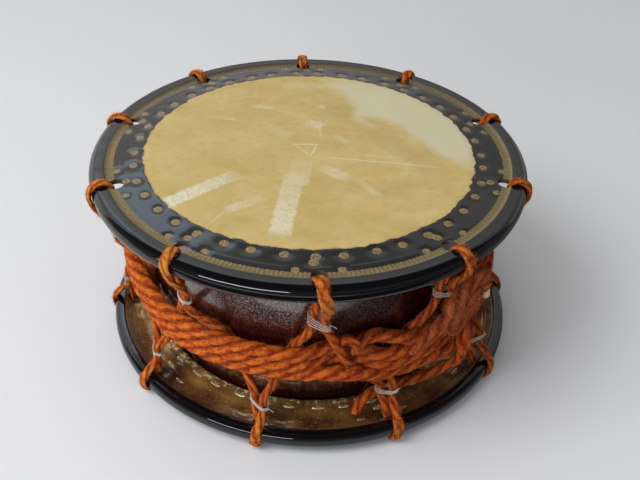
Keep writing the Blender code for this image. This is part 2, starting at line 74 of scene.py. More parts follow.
camera = bpy.data.objects.new("camera", bpy.data.cameras.new("camera"))
camera.data.lens = CAMERA_LENS
camera.data.sensor_width = 36.0
camera.matrix_world = Matrix([
    (CAMERA_RIGHT[i], CAMERA_UP[i], -CAMERA_AHEAD[i], CAMERA_PLACE[i]) for i in range(3)
] + [(0.0, 0.0, 0.0, 1.0)])
scene.collection.objects.link(camera)
scene.camera = camera


# Floor
# A wide sheet of pale grey card that the drum stands on, matt and plain.
def linear(colour):
    """An sRGB hex colour as linear red, green and blue, with full alpha."""
    parts = [int(colour[i:i + 2], 16) / 255 for i in (1, 3, 5)]
    return (*[c / 12.92 if c <= 0.04045 else ((c + 0.055) / 1.055) ** 2.4 for c in parts], 1.0)


def finish(name, colour, roughness, **more):
    """A new material with constants on its Principled shader, and that shader."""
    made = bpy.data.materials.new(name)
    made.use_nodes = True
    shader = made.node_tree.nodes["Principled BSDF"]
    shader.inputs["Base Color"].default_value = linear(colour)
    shader.inputs["Roughness"].default_value = roughness
    for key, value in more.items():
        shader.inputs[key.replace("_", " ")].default_value = value
    return made, shader


def add(material, kind, values=None, links=None, **settings):
    """One node: its settings, its sockets' constant values, and what is linked into them."""
    node = material.node_tree.nodes.new("ShaderNode" + kind)
    for key, value in settings.items():
        setattr(node, key, value)
    for key, value in (values or {}).items():
        node.inputs[key].default_value = value
    for key, source in (links or {}).items():
        source = source.outputs[0] if isinstance(source, bpy.types.Node) else source
        material.node_tree.links.new(source, node.inputs[key])
    return node


def wire(material, source, socket):
    source = source.outputs[0] if isinstance(source, bpy.types.Node) else source
    material.node_tree.links.new(source, socket)


def lay_quads(name, points, materials, around=False, along=False, ends=False, sharp=None):
    """Lays quads over a grid of points, closing it round its rows or its columns."""
    rows, columns = points.shape[:2]
    index = np.arange(rows * columns).reshape(rows, columns)
    i = np.arange(rows if along else rows - 1)
    j = np.arange(columns if around else columns - 1)
    ahead, beside = (i + 1) % rows, (j + 1) % columns
    faces = np.stack([index[np.ix_(i, j)], index[np.ix_(i, beside)],
                      index[np.ix_(ahead, beside)], index[np.ix_(ahead, j)]], axis=-1)
    faces = faces.reshape(-1, 4).tolist()
    if ends:
        faces += [index[0][::-1].tolist(), index[-1].tolist()]
    mesh = bpy.data.meshes.new(name)
    mesh.from_pydata(points.reshape(-1, 3), [], faces)
    mesh.shade_smooth()
    for material in materials:
        mesh.materials.append(material)
    if sharp is not None:
        mesh.set_sharp_from_angle(angle=math.radians(sharp))
    made = bpy.data.objects.new(name, mesh)
    scene.collection.objects.link(made)
    return made


FLOOR_REACH = 4.0
card, shader = finish("pale_card", "#DBDDDF", 0.6, Specular_IOR_Level=0.25)
# for glossy rays only, the floor is painted in dark and bright bands across Y and darker at the right: painted
# reflections for the lacquer to mirror
place = add(card, "TexCoord").outputs["Object"]
spot = add(card, "SeparateXYZ", {}, {0: place})
depth = add(card, "MapRange", {"From Min": -1.0, "From Max": 0.0}, {"Value": spot.outputs["Y"]})
painted_reflection_bands = add(card, "ValToRGB", {}, {"Fac": depth})
for stop, shade in ((0.38, "#5A5C5E"), (0.44, "#F4F6F8"), (0.585, "#F4F6F8"), (0.615, "#1C1D1E"), (0.75, "#1C1D1E"),
                    (0.80, "#DBDDDF")):
    painted_reflection_bands.color_ramp.elements.new(stop).color = linear(shade)
painted_reflection_bands.color_ramp.elements.remove(painted_reflection_bands.color_ramp.elements[0])
painted_reflection_bands.color_ramp.elements.remove(painted_reflection_bands.color_ramp.elements[-1])
side = add(card, "MapRange", {"From Min": 0.10, "From Max": 0.20, "To Min": 1.0, "To Max": 0.3},
           {"Value": spot.outputs["X"]})
painted_reflection_bands = add(card, "MixRGB", {"Fac": 1.0}, {"Color1": painted_reflection_bands, "Color2": side}, blend_type="MULTIPLY")
mirrored = add(card, "LightPath").outputs["Is Glossy Ray"]
tone = add(card, "MixRGB", {"Color1": linear("#DBDDDF")}, {"Fac": mirrored, "Color2": painted_reflection_bands})
wire(card, tone, shader.inputs["Base Color"])
sweep = np.array([-FLOOR_REACH, FLOOR_REACH])
floor = lay_quads("floor", np.stack([
    np.tile(sweep[:, None], (1, 2)), np.tile(sweep, (2, 1)), np.full((2, 2), -0.0002),
], axis=-1), [card])
floor.data.flip_normals()
floor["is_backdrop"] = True

# Room light
# A white room, brighter on the left, dim behind the camera and overhead, with a bluish window high at
# the back left. A large soft lamp hangs at the left, and a long low window stands at the front left.
def toward(azimuth, elevation):
    turn, lift = math.radians(azimuth), math.radians(elevation)
    return Vector((math.cos(lift) * math.cos(turn), math.cos(lift) * math.sin(turn), math.sin(lift)))


world = bpy.data.worlds.new("white_room")
world.use_nodes = True
heading = add(world, "TexCoord").outputs["Generated"]
parts = add(world, "SeparateXYZ", {}, {0: heading})
right = add(world, "MapRange", {"From Min": -0.24, "From Max": 0.26}, {"Value": parts.outputs["X"]})
room = add(world, "MixRGB", {"Color1": (0.92, 0.90, 0.87, 1.0), "Color2": (0.46, 0.455, 0.44, 1.0)}, {"Fac": right})
wall = add(world, "ValToRGB", {}, {"Fac": parts.outputs["Z"]})
for spot, level in ((0.02, 0.60), (0.30, 0.58), (0.40, 0.42), (0.50, 0.46), (0.58, 0.70), (0.69, 0.66),
                    (0.73, 0.36), (0.82, 0.40), (0.90, 0.95)):
    wall.color_ramp.elements.new(spot).color = (level, level, level, 1.0)
wall.color_ramp.elements.remove(wall.color_ramp.elements[0])
wall.color_ramp.elements.remove(wall.color_ramp.elements[-1])
room = add(world, "MixRGB", {"Fac": 1.0}, {"Color1": room, "Color2": wall}, blend_type="MULTIPLY")
room = add(world, "MixRGB", {"Fac": 1.0, "Color2": (2.0, 2.0, 2.0, 1.0)}, {"Color1": room}, blend_type="MULTIPLY")
mirrored = add(world, "LightPath").outputs["Is Glossy Ray"]
front = add(world, "MapRange", {"From Min": 0.35, "From Max": -0.35}, {"Value": parts.outputs["Y"]})
low = add(world, "MapRange", {"From Min": 0.85, "From Max": 0.55}, {"Value": parts.outputs["Z"]})
front = add(world, "Math", {}, {0: front, 1: low}, operation="MULTIPLY")
# the lacquer mirrors a dark ceiling over the camera, with a crisp border
beam = add(world, "MapRange", {"From Min": 0.37, "From Max": 0.30}, {"Value": parts.outputs["Y"]})
front = add(world, "MixRGB", {}, {"Fac": mirrored, "Color1": front, "Color2": beam})
overhead = add(world, "MapRange", {"From Min": 0.35, "From Max": 0.60, "To Min": 0.15, "To Max": 0.02},
               {"Value": parts.outputs["Z"]})
shade = add(world, "MixRGB", {"Color1": (0.42, 0.42, 0.43, 1.0)}, {"Fac": mirrored, "Color2": overhead})
room = add(world, "MixRGB", {}, {"Fac": front, "Color1": room, "Color2": shade})
panes = []
for axis, half in ((toward(108.5 - 90, 0), 0.105), (toward(108.5, 38 + 90), 0.115)):
    off = add(world, "VectorMath", {1: axis}, {0: heading}, operation="DOT_PRODUCT").outputs["Value"]
    off = add(world, "Math", {}, {0: off}, operation="ABSOLUTE")
    panes.append(add(world, "MapRange", {"From Min": half + 0.02, "From Max": half - 0.04}, {"Value": off}))
pane = add(world, "Math", {}, {0: panes[0], 1: panes[1]}, operation="MULTIPLY")
ahead = add(world, "MapRange", {"From Min": 0.0, "From Max": 0.1}, {"Value": parts.outputs["Y"]})
pane = add(world, "Math", {}, {0: pane, 1: ahead}, operation="MULTIPLY")
room = add(world, "MixRGB", {"Color2": (1.6, 1.95, 2.3, 1.0)}, {"Fac": pane, "Color1": room})
background = world.node_tree.nodes["Background"]
wire(world, room, background.inputs["Color"])
level = add(world, "MapRange", {"To Min": 0.62, "To Max": 1.0}, {"Value": mirrored})
wire(world, level, background.inputs["Strength"])
scene.world = world


def soft_lamp(name, place, aim, width, height, power, colour, mirrored=True):
    lamp = bpy.data.lights.new(name, "AREA")
    lamp.shape = "RECTANGLE"
    lamp.size, lamp.size_y = width, height
    lamp.energy = power
    lamp.color = linear(colour)[:3]
    made = bpy.data.objects.new(name, lamp)
    made.location = place
    made.rotation_euler = (Vector(aim) - Vector(place)).to_track_quat("-Z", "Y").to_euler()
    made.visible_glossy = mirrored
    scene.collection.objects.link(made)


soft_lamp("window", (-0.75, -1.45, 0.55), (0.0, 0.0, 0.08), 1.2, 0.18, 10.0, "#F2F4FF")
soft_lamp("ceiling_lamp", (-1.6, -0.75, 2.0), (0.0, 0.0, 0.1), 1.5, 1.5, 46.0, "#FCFCFF", mirrored=False)

# Shell
# A low barrel turned from one piece of zelkova wood and hollowed, lacquered dark red-brown with gold
# and tin flakes sprinkled into the wet lacquer, then clear lacquer over them, polished.
HEAD_SHIFT = 0.0037
MIDDLE = 0.0842864
HALF_SPACING = 0.0732
SHELL_HALF = 0.0786
MOUTH_RADIUS = 0.1275
BELLY_RADIUS = 0.1395
BORE_RADIUS = 0.116
LIP_WIDTH = 0.0065
LIP_SLOPE = 0.009
FLAKE = 0.00034


def turned(name, radii, heights, centre, materials, segments, sharp=None):
    """Turns a closed profile about the upright line through a centre: radius and height to a ring."""
    turn = np.arange(segments) * 2 * math.pi / segments
    points = np.stack([
        centre + np.outer(np.cos(turn), radii),
        np.outer(np.sin(turn), radii),
        np.tile(heights, (segments, 1)),
    ], axis=-1)
    return lay_quads(name, points, materials, around=True, along=True, sharp=sharp)


lacquered_wood, shader = finish("flaked_brown_lacquer_on_wood", "#3A1710", 0.25,
                                Coat_Weight=1.0, Coat_Roughness=0.06, Coat_IOR=1.75)
# lacquer over metal flakes: dark red-brown where it mirrors the ropes, a mauve-grey sheen full of
# bright specks where it mirrors the room
place = add(lacquered_wood, "TexCoord").outputs["Object"]
flakes = add(lacquered_wood, "TexVoronoi", {"Scale": 1 / FLAKE}, {"Vector": place})
lot = add(lacquered_wood, "SeparateColor", {}, {"Color": flakes.outputs["Color"]})
cloud = add(lacquered_wood, "TexNoise", {"Scale": 14.0, "Detail": 4.0}, {"Vector": place})
share = add(lacquered_wood, "MapRange", {"From Min": 0.3, "From Max": 0.7, "To Min": 0.88,
                                         "To Max": 0.74}, {"Value": cloud})
metal = add(lacquered_wood, "Math", {}, {0: lot.outputs[0], 1: share}, operation="GREATER_THAN")
tone = add(lacquered_wood, "ValToRGB", {}, {"Fac": lot.outputs[1]})
tone.color_ramp.elements[0].color = linear("#A07C74")
tone.color_ramp.elements[1].color = linear("#FFEAD4")
ground = add(lacquered_wood, "TexNoise", {"Scale": 40.0, "Detail": 3.0}, {"Vector": place})
brown = add(lacquered_wood, "MixRGB", {"Color1": linear("#2A0E0C"), "Color2": linear("#481A15")},
            {"Fac": ground})
# painted shade: the brown ground is darkened toward the right of the drum
across = add(lacquered_wood, "SeparateXYZ", {}, {0: place}).outputs["X"]
painted_shade_right = add(lacquered_wood, "MapRange", {"From Min": -0.02, "From Max": 0.07, "To Min": 1.0, "To Max": 0.4},
          {"Value": across})
brown = add(lacquered_wood, "MixRGB", {"Fac": 1.0}, {"Color1": brown, "Color2": painted_shade_right}, blend_type="MULTIPLY")
colour = add(lacquered_wood, "MixRGB", {}, {"Fac": metal, "Color1": brown, "Color2": tone})
tilt = add(lacquered_wood, "VectorMath", {1: (0.5, 0.5, 0.5)}, {0: flakes.outputs["Color"]},
           operation="SUBTRACT")
lean = add(lacquered_wood, "VectorMath", {"Scale": 0.23}, {0: tilt}, operation="SCALE")
outwards = add(lacquered_wood, "NewGeometry").outputs["Normal"]
tipped = add(lacquered_wood, "VectorMath", {}, {0: outwards, 1: lean}, operation="ADD")
level = add(lacquered_wood, "VectorMath", {}, {0: tipped}, operation="NORMALIZE")
wire(lacquered_wood, colour, shader.inputs["Base Color"])
wire(lacquered_wood, metal, shader.inputs["Metallic"])
wire(lacquered_wood, level, shader.inputs["Normal"])

bare_wood, shader = finish("bare_zelkova_bore", "#8A5A34", 0.7)
place = add(bare_wood, "TexCoord").outputs["Object"]
stretch = add(bare_wood, "Mapping", {"Scale": (1.0, 1.0, 0.12)}, {"Vector": place})
grain = add(bare_wood, "TexNoise", {"Scale": 260.0, "Detail": 5.0}, {"Vector": stretch})
tone = add(bare_wood, "MixRGB", {"Color1": linear("#6E4426"), "Color2": linear("#A5733F")},
           {"Fac": grain})
wire(bare_wood, tone, shader.inputs["Base Color"])

rise = np.linspace(SHELL_HALF, -SHELL_HALF, 61)
swell = ((1 + np.cos(np.pi * rise / SHELL_HALF)) / 2) ** 0.8
outside = MOUTH_RADIUS + (BELLY_RADIUS - MOUTH_RADIUS) * swell
inside = np.array([MOUTH_RADIUS - LIP_WIDTH, BORE_RADIUS, BORE_RADIUS, MOUTH_RADIUS - LIP_WIDTH])
inside_rise = np.array([-SHELL_HALF, LIP_SLOPE - SHELL_HALF, SHELL_HALF - LIP_SLOPE, SHELL_HALF])
shell = turned("shell_barrel", np.concatenate([outside, inside]),
               MIDDLE + np.concatenate([rise, inside_rise]), -HEAD_SHIFT / 2,
               [lacquered_wood, bare_wood], 200, sharp=35.0)
part = np.arange(len(shell.data.polygons)) % 65
shell.data.polygons.foreach_set("material_index", (part >= 60).astype(np.int32))
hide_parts("shell")
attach(shell, "root")

# Heads
# Rawhide stretched wet over an iron ring, folded back under as a flange and sewn through both layers.
# The rim is lacquered black over the fold and the middle left bare; the flange is gilded inside.
RIM_RADIUS = 0.175
ROLL_RADIUS = 0.0070
ROLL_CENTRE = RIM_RADIUS - ROLL_RADIUS
HIDE = 0.0015
SKIN_RISE = 0.0073
SHOULDER = 0.150
GROOVE = 0.158
GROOVE_RISE = 0.0050
SLOPE_FROM = 0.1285
SKIN_SLOPE = 0.0787
FLANGE_EDGE = 0.132
BEAD = 0.1355
BEAD_DROP = 0.0034
FLANGE_DROP = 0.0022
PINCHED = 0.0036
BARE_RADIUS = 0.1328
HOLE_RADIUS = 0.0062
HOLE_PLACE = 0.1575
# the holes of the top head are punched by hand, a little nearer or farther
HOLE_SHIFTS = (0.0018, 0.0, 0.0, -0.0012, 0.0, 0.0, 0.0, -0.0028, -0.0018, 0.0)
GOLD_BAND = 0.1589
GOLD_HALF = 0.0035
LOOPS = 10
LOOP_STEP = 2 * math.pi / LOOPS
TOP = {"name": "top", "side": 1.0, "centre": -HEAD_SHIFT, "phase": math.radians(-87.0)}
BOTTOM = {"name": "bottom", "side": -1.0, "centre": 0.0, "phase": math.radians(-103.5)}
ROW_STITCHES = 41
STITCH_ROW = 0.1397
SECOND_STITCH = 0.1470
OUTER_STITCH = 0.1530
OUTER_STITCH_TURN = math.radians(6.3)
DENT = 0.00058
COAT = 0.00022


def skin_rise(radius):
    """Rise of the skin: flat, sloping down outside the shell's mouth, then stepping into the groove."""
    slope = SKIN_RISE - SKIN_SLOPE * np.clip(radius - SLOPE_FROM, 0.0, SHOULDER - SLOPE_FROM)
    part = np.clip((radius - SHOULDER) / (GROOVE - SHOULDER), 0.0, 1.0)
    ease = part * part * (3 - 2 * part)
    return slope * (1 - ease) + GROOVE_RISE * ease


def flange_rise(radius):
    """Rise of the flange: low at its edge, pinched against the skin by the holes, low again at the roll."""
    toward_edge = np.clip((0.1505 - radius) / 0.0100, 0.0, 1.0)
    toward_roll = np.clip((radius - 0.1585) / 0.0085, 0.0, 1.0)
    edge = toward_edge * toward_edge * (3 - 2 * toward_edge)
    roll = toward_roll * toward_roll * (3 - 2 * toward_roll)
    return (skin_rise(radius) - PINCHED) * (1 - edge) * (1 - roll) - FLANGE_DROP * edge - ROLL_RADIUS * roll


def squared(turn, power=2.7):
    """What a circle's radius is times at each turn to make a rounded square."""
    return (np.abs(np.cos(turn)) ** power + np.abs(np.sin(turn)) ** power) ** (-1 / power)


def roll_reach(turn):
    """What the roll's radius is times at each turn: round above, fuller below."""
    return np.where(turn < 0, squared(turn, 3.0), 1.0)


def hole_place(head, number):
    return HOLE_PLACE + (HOLE_SHIFTS[number] if head is TOP else 0.0)


def head_section():
    """The head's section: the outer line from the skin's centre over the roll and along the flange.

    The skin, the roll, whose top is level and whose side is round, then the flange, whose edge is
    raised in a bead. The inner line goes back inside it, about a hide's thickness away. Rows are
    radius and rise.
    """
    reach = np.concatenate([[0.0005], np.linspace(0.006, 0.126, 13), np.linspace(0.128, 0.149, 30),
                            np.linspace(SHOULDER, GROOVE, 12)])
    skin = np.stack([reach, skin_rise(reach)], axis=1)
    arc = np.radians(np.linspace(73.0, -98.0, 38))
    wide = ROLL_RADIUS * roll_reach(arc)
    level = [(0.1600, 0.0052), (0.1612, 0.0056), (0.1621, 0.0061), (0.1627, 0.00632), (0.1636, 0.0064),
             (0.1660, 0.00655), (0.1690, 0.00672), (0.1698, 0.00675)]
    roll = np.concatenate([level, np.stack([ROLL_CENTRE + wide * np.cos(arc), wide * np.sin(arc)], axis=1)])
    foot = BEAD + 0.003
    reach = np.linspace(roll[-1, 0], foot, 31)[1:]
    flange = np.stack([reach, flange_rise(reach)], axis=1)
    turn = np.linspace(0.0, 1.0, 9)[1:]
    swell = np.abs(np.sin(np.pi * turn)) ** 0.8
    bead = np.stack([foot - (foot - FLANGE_EDGE) * turn,
                     -FLANGE_DROP - (BEAD_DROP - FLANGE_DROP) * swell], axis=1)
    arc = np.radians(np.linspace(-104.0, 126.0, 12))
    hollow = ROLL_RADIUS - HIDE
    inner = np.concatenate([
        (bead + [0.0, HIDE])[::-1][::3], (flange + [0.0, HIDE])[::-1][::3][:8],
        np.stack([ROLL_CENTRE + hollow * np.cos(arc), hollow * np.sin(arc)], axis=1),
        [(GROOVE, GROOVE_RISE - HIDE), (SHOULDER, 0.0040), (0.1415, 0.0055), (0.0005, SKIN_RISE - HIDE)],
    ])
    outer = np.concatenate([skin, roll, flange, bead])
    return outer, inner, len(skin), len(flange) + len(bead)


def stitch_spots(head):
    """Radius, azimuth and size of every stitch: a row round the skin and three by each rope hole."""
    holes = head["phase"] + np.arange(LOOPS) * LOOP_STEP
    row = head["phase"] - 0.019 + np.arange(ROW_STITCHES) * 2 * math.pi / ROW_STITCHES
    radii = np.concatenate([np.full(len(row), STITCH_ROW), np.full(LOOPS, SECOND_STITCH),
                            np.full(2 * LOOPS, OUTER_STITCH)])
    turns = np.concatenate([row, holes - 0.015, holes - OUTER_STITCH_TURN, holes + OUTER_STITCH_TURN])
    sizes = np.concatenate([np.full(len(row), 1.0), np.full(LOOPS, 0.86), np.full(2 * LOOPS, 0.8)])
    number = np.arange(len(turns))
    return radii + np.sin(number * 12.9898) * 0.0007, turns + np.cos(number * 78.233) * 0.008, sizes


def make_head(head, materials):
    section, inner, skin_rows, flange_rows = head_section()
    segments = 480
    turn = head["phase"] + np.arange(segments) * 2 * math.pi / segments
    radius = np.tile(section[:, 0], (segments, 1))
    rise = np.tile(section[:, 1], (segments, 1))
    # every stitch pulls a soft dent into the skin, and a shallower one into the flange
    spots, turns, sizes = stitch_spots(head)
    dent = np.zeros_like(radius)
    for r, a, size in zip(spots, turns, sizes):
        off = (turn - a + math.pi) % (2 * math.pi) - math.pi
        near = np.abs(off) < 0.12
        across = off[near, None] * r / (0.0052 * size)
        inward = (radius[near] - r) / (0.0046 * size)
        dent[near] += size * np.exp(-(across ** 2 + inward ** 2) ** 1.3)
    outer_side = np.arange(len(section)) < skin_rows
    rise = rise - np.where(outer_side, DENT, 0.0) * dent
    flange_side = np.arange(len(section)) > len(section) - flange_rows
    rise = rise + np.where(flange_side, 0.0007, 0.0) * dent
    # the coat of lacquer ends in a thin, uneven step on the skin
    edge = BARE_RADIUS + 0.0007 * np.sin(turn * 47) * np.sin(turn * 5 + 1)[:] + 0.0004 * np.sin(turn * 83)
    coat = np.clip((radius - edge[:, None]) / 0.0008, 0.0, 1.0)
    rise += np.where(outer_side, COAT, 0.0) * coat
    radius = np.concatenate([radius, np.tile(inner[:, 0], (segments, 1))], axis=1)
    rise = np.concatenate([rise, np.tile(inner[:, 1], (segments, 1))], axis=1)
    points = np.stack([
        head["centre"] + radius * np.cos(turn)[:, None],
        radius * np.sin(turn)[:, None],
        MIDDLE + head["side"] * (HALF_SPACING + rise),
    ], axis=-1)
    if head["side"] < 0:
        points = points[::-1]
    made = lay_quads(head["name"] + "_head", points, materials, along=True)
    part = np.arange(len(made.data.polygons)) % (len(section) + len(inner) - 1)
    slot = np.where((part >= len(section) - flange_rows) & (part < len(section) + 1), 1, 0)
    slot = np.where(part >= len(section) + 1, 2, slot)
    made.data.polygons.foreach_set("material_index", slot.astype(np.int32))
    # the two poles, where the rings shrink to half a millimetre, are closed with a face each
    meshes = bmesh.new()
    meshes.from_mesh(made.data)
    bmesh.ops.holes_fill(meshes, edges=meshes.edges[:])
    meshes.to_mesh(made.data)
    meshes.free()
    return made


def bore_holes(head, piece):
    """Cuts the ten rope holes with a comb of upright pins."""
    sides = 28
    ring = np.arange(sides) * 2 * math.pi / sides
    holes = head["phase"] + np.arange(LOOPS) * LOOP_STEP
    meshes = bmesh.new()
    for number, azimuth in enumerate(holes):
        place = hole_place(head, number)
        at = (head["centre"] + place * math.cos(azimuth), place * math.sin(azimuth),
              MIDDLE + head["side"] * HALF_SPACING)
        bmesh.ops.create_cone(meshes, cap_ends=True, segments=sides, radius1=HOLE_RADIUS,
                              radius2=HOLE_RADIUS, depth=0.04, matrix=Matrix.Translation(at))
    data = bpy.data.meshes.new("pins")
    meshes.to_mesh(data)
    meshes.free()
    data.polygons.foreach_set("material_index", np.full(len(data.polygons), 2, dtype=np.int32))
    pins = bpy.data.objects.new("pins", data)
    scene.collection.objects.link(pins)
    cut = piece.modifiers.new("rope_holes", "BOOLEAN")
    cut.operation, cut.solver, cut.object = "DIFFERENCE", "EXACT", pins
    bpy.context.view_layer.update()
    bored = bpy.data.meshes.new_from_object(piece.evaluated_get(bpy.context.evaluated_depsgraph_get()))
    piece.modifiers.remove(cut)
    piece.data = bored
    bpy.data.objects.remove(pins)


def hide_finish(name, head, marks):
    """Rawhide in the middle, black urushi lacquer outside it, and the gold band in the groove."""
    made, shader = finish(name, "#C9B57B", 0.5, IOR=1.53)
    place = add(made, "TexCoord").outputs["Object"]
    flat = add(made, "Mapping", {"Location": (-head["centre"], 0.0, 0.0), "Scale": (1.0, 1.0, 0.0)},
               {"Vector": place})
    reach = add(made, "VectorMath", {}, {0: flat}, operation="LENGTH").outputs["Value"]
    # edge of the lacquer
    ripple = add(made, "TexNoise", {"Scale": 120.0, "Detail": 1.5}, {"Vector": flat})
    shifted = add(made, "Math", {1: 0.0056, 2: -0.0028}, {0: ripple}, operation="MULTIPLY_ADD")
    edge = add(made, "Math", {}, {0: reach, 1: shifted}, operation="ADD")
    coated = add(made, "MapRange", {"From Min": BARE_RADIUS - 0.0001, "From Max": BARE_RADIUS + 0.0001},
                 {"Value": edge})
    # the bare skin: tan, clouded, with fine fibres
    drawn = add(made, "Mapping", {"Rotation": (0.0, 0.0, math.radians(-14.0)), "Scale": (1.0, 1.3, 1.0)},
                {"Vector": flat})
    cloud = add(made, "TexNoise", {"Scale": 20.0, "Detail": 6.0, "Roughness": 0.62}, {"Vector": drawn})
    fibre = add(made, "TexNoise", {"Scale": 70.0, "Detail": 7.0, "Roughness": 0.72, "Distortion": 0.6},
                {"Vector": drawn})
    skin = add(made, "ValToRGB", {}, {"Fac": cloud})
    skin.color_ramp.elements[0].color = linear("#B9A15F")
    skin.color_ramp.elements[0].position = 0.36
    skin.color_ramp.elements[1].color = linear("#C5AF72")
    skin.color_ramp.elements[1].position = 0.62
    stain = add(made, "MapRange", {"From Min": 0.52, "From Max": 0.76, "To Max": 0.40}, {"Value": fibre})
    skin = add(made, "MixRGB", {"Color2": linear("#A88848")}, {"Color1": skin, "Fac": stain})
    mottle = add(made, "TexNoise", {"Scale": 150.0, "Detail": 5.0, "Roughness": 0.7}, {"Vector": drawn})
    spots = add(made, "MapRange", {"From Min": 0.52, "From Max": 0.70, "To Max": 0.35}, {"Value": mottle})
    skin = add(made, "MixRGB", {"Color2": linear("#A5864A")}, {"Color1": skin, "Fac": spots})
    bloom = add(made, "MapRange", {"From Min": 0.46, "From Max": 0.28, "To Max": 0.30}, {"Value": fibre})
    skin = add(made, "MixRGB", {"Color2": linear("#D2C594")}, {"Color1": skin, "Fac": bloom})
    for colour, *mark in marks:
        skin = add(made, "MixRGB", {"Color2": linear(colour)},
                   {"Color1": skin, "Fac": rubbed_mark(made, flat, *mark)})
    brim = add(made, "MapRange", {"From Min": BARE_RADIUS - 0.0016, "From Max": BARE_RADIUS - 0.0004, "To Max": 0.45},
               {"Value": edge})
    skin = add(made, "MixRGB", {"Color2": linear("#A06A34")}, {"Color1": skin, "Fac": brim})
    # the gold band, hatched across
    bearing = add(made, "SeparateXYZ", {}, {0: flat})
    turn = add(made, "Math", {}, {0: bearing.outputs["Y"], 1: bearing.outputs["X"]}, operation="ARCTAN2")
    hatch = add(made, "Math", {1: 310.0}, {0: turn}, operation="MULTIPLY")
    hatch = add(made, "Math", {}, {0: hatch}, operation="SINE")
    frayed = add(made, "TexNoise", {"Scale": 260.0, "Detail": 3.0}, {"Vector": flat})
    frayed = add(made, "Math", {1: 0.0012, 2: -0.0006}, {0: frayed}, operation="MULTIPLY_ADD")
    frayed = add(made, "Math", {}, {0: frayed, 1: reach}, operation="ADD")
    ribs = add(made, "Math", {1: 0.00012}, {0: hatch, 2: frayed}, operation="MULTIPLY_ADD")
    ribs = add(made, "Math", {1: GOLD_BAND}, {0: ribs}, operation="SUBTRACT")
    ribs = add(made, "Math", {}, {0: ribs}, operation="ABSOLUTE")
    band = add(made, "MapRange", {"From Min": GOLD_HALF, "From Max": GOLD_HALF - 0.0003}, {"Value": ribs})
    speck = add(made, "TexNoise", {"Scale": 420.0, "Detail": 3.0}, {"Vector": flat})
    gold = add(made, "MixRGB", {"Color1": linear("#564728"), "Color2": linear("#A69260")}, {"Fac": speck})
    # painted shade: the hollows between the hatch ribs are darkened
    worn = add(made, "MapRange", {"From Min": -0.3, "From Max": -1.0, "To Max": 0.55}, {"Value": hatch})
    gold = add(made, "MixRGB", {"Color2": linear("#4A3A20")}, {"Fac": worn, "Color1": gold})
    # painted shade: the band is darker and greyer toward the back of the drum
    painted_back_shade = add(made, "MapRange", {"From Min": 0.0, "From Max": 0.14, "To Max": 0.55}, {"Value": bearing.outputs["Y"]})
    gold = add(made, "MixRGB", {"Color2": linear("#4C4538")}, {"Fac": painted_back_shade, "Color1": gold})
    black = add(made, "MixRGB", {"Color1": linear("#0B0B0D")}, {"Fac": band, "Color2": gold})
    whole = add(made, "MixRGB", {}, {"Fac": coated, "Color1": skin, "Color2": black})
    wire(made, whole, shader.inputs["Base Color"])
    gilt = add(made, "Math", {1: 0.55}, {0: band}, operation="MULTIPLY")
    wire(made, gilt, shader.inputs["Metallic"])
    matt = add(made, "MixRGB", {"Color1": (0.62,) * 3 + (1,), "Color2": (0.05,) * 3 + (1,)}, {"Fac": coated})
    matt = add(made, "MixRGB", {"Color2": (0.42,) * 3 + (1,)}, {"Fac": band, "Color1": matt})
    wire(made, matt, shader.inputs["Roughness"])
    # brush marks and the hide's own waves under the lacquer, stronger along the roll
    wave = add(made, "TexNoise", {"Scale": 60.0, "Detail": 1.5}, {"Vector": place})
    deep = add(made, "MapRange", {"From Min": 0.160, "From Max": 0.168, "To Min": 0.4, "To Max": 0.7}, {"Value": reach})
    height = add(made, "Math", {}, {0: wave, 1: deep}, operation="MULTIPLY")
    ridge = add(made, "Math", {}, {0: hatch, 1: band}, operation="MULTIPLY")
    height = add(made, "Math", {1: 0.16}, {0: ridge, 2: height}, operation="MULTIPLY_ADD")
    bump = add(made, "Bump", {"Strength": 0.5, "Distance": 0.0006}, {"Height": height})
    wire(made, bump, shader.inputs["Normal"])
    return made


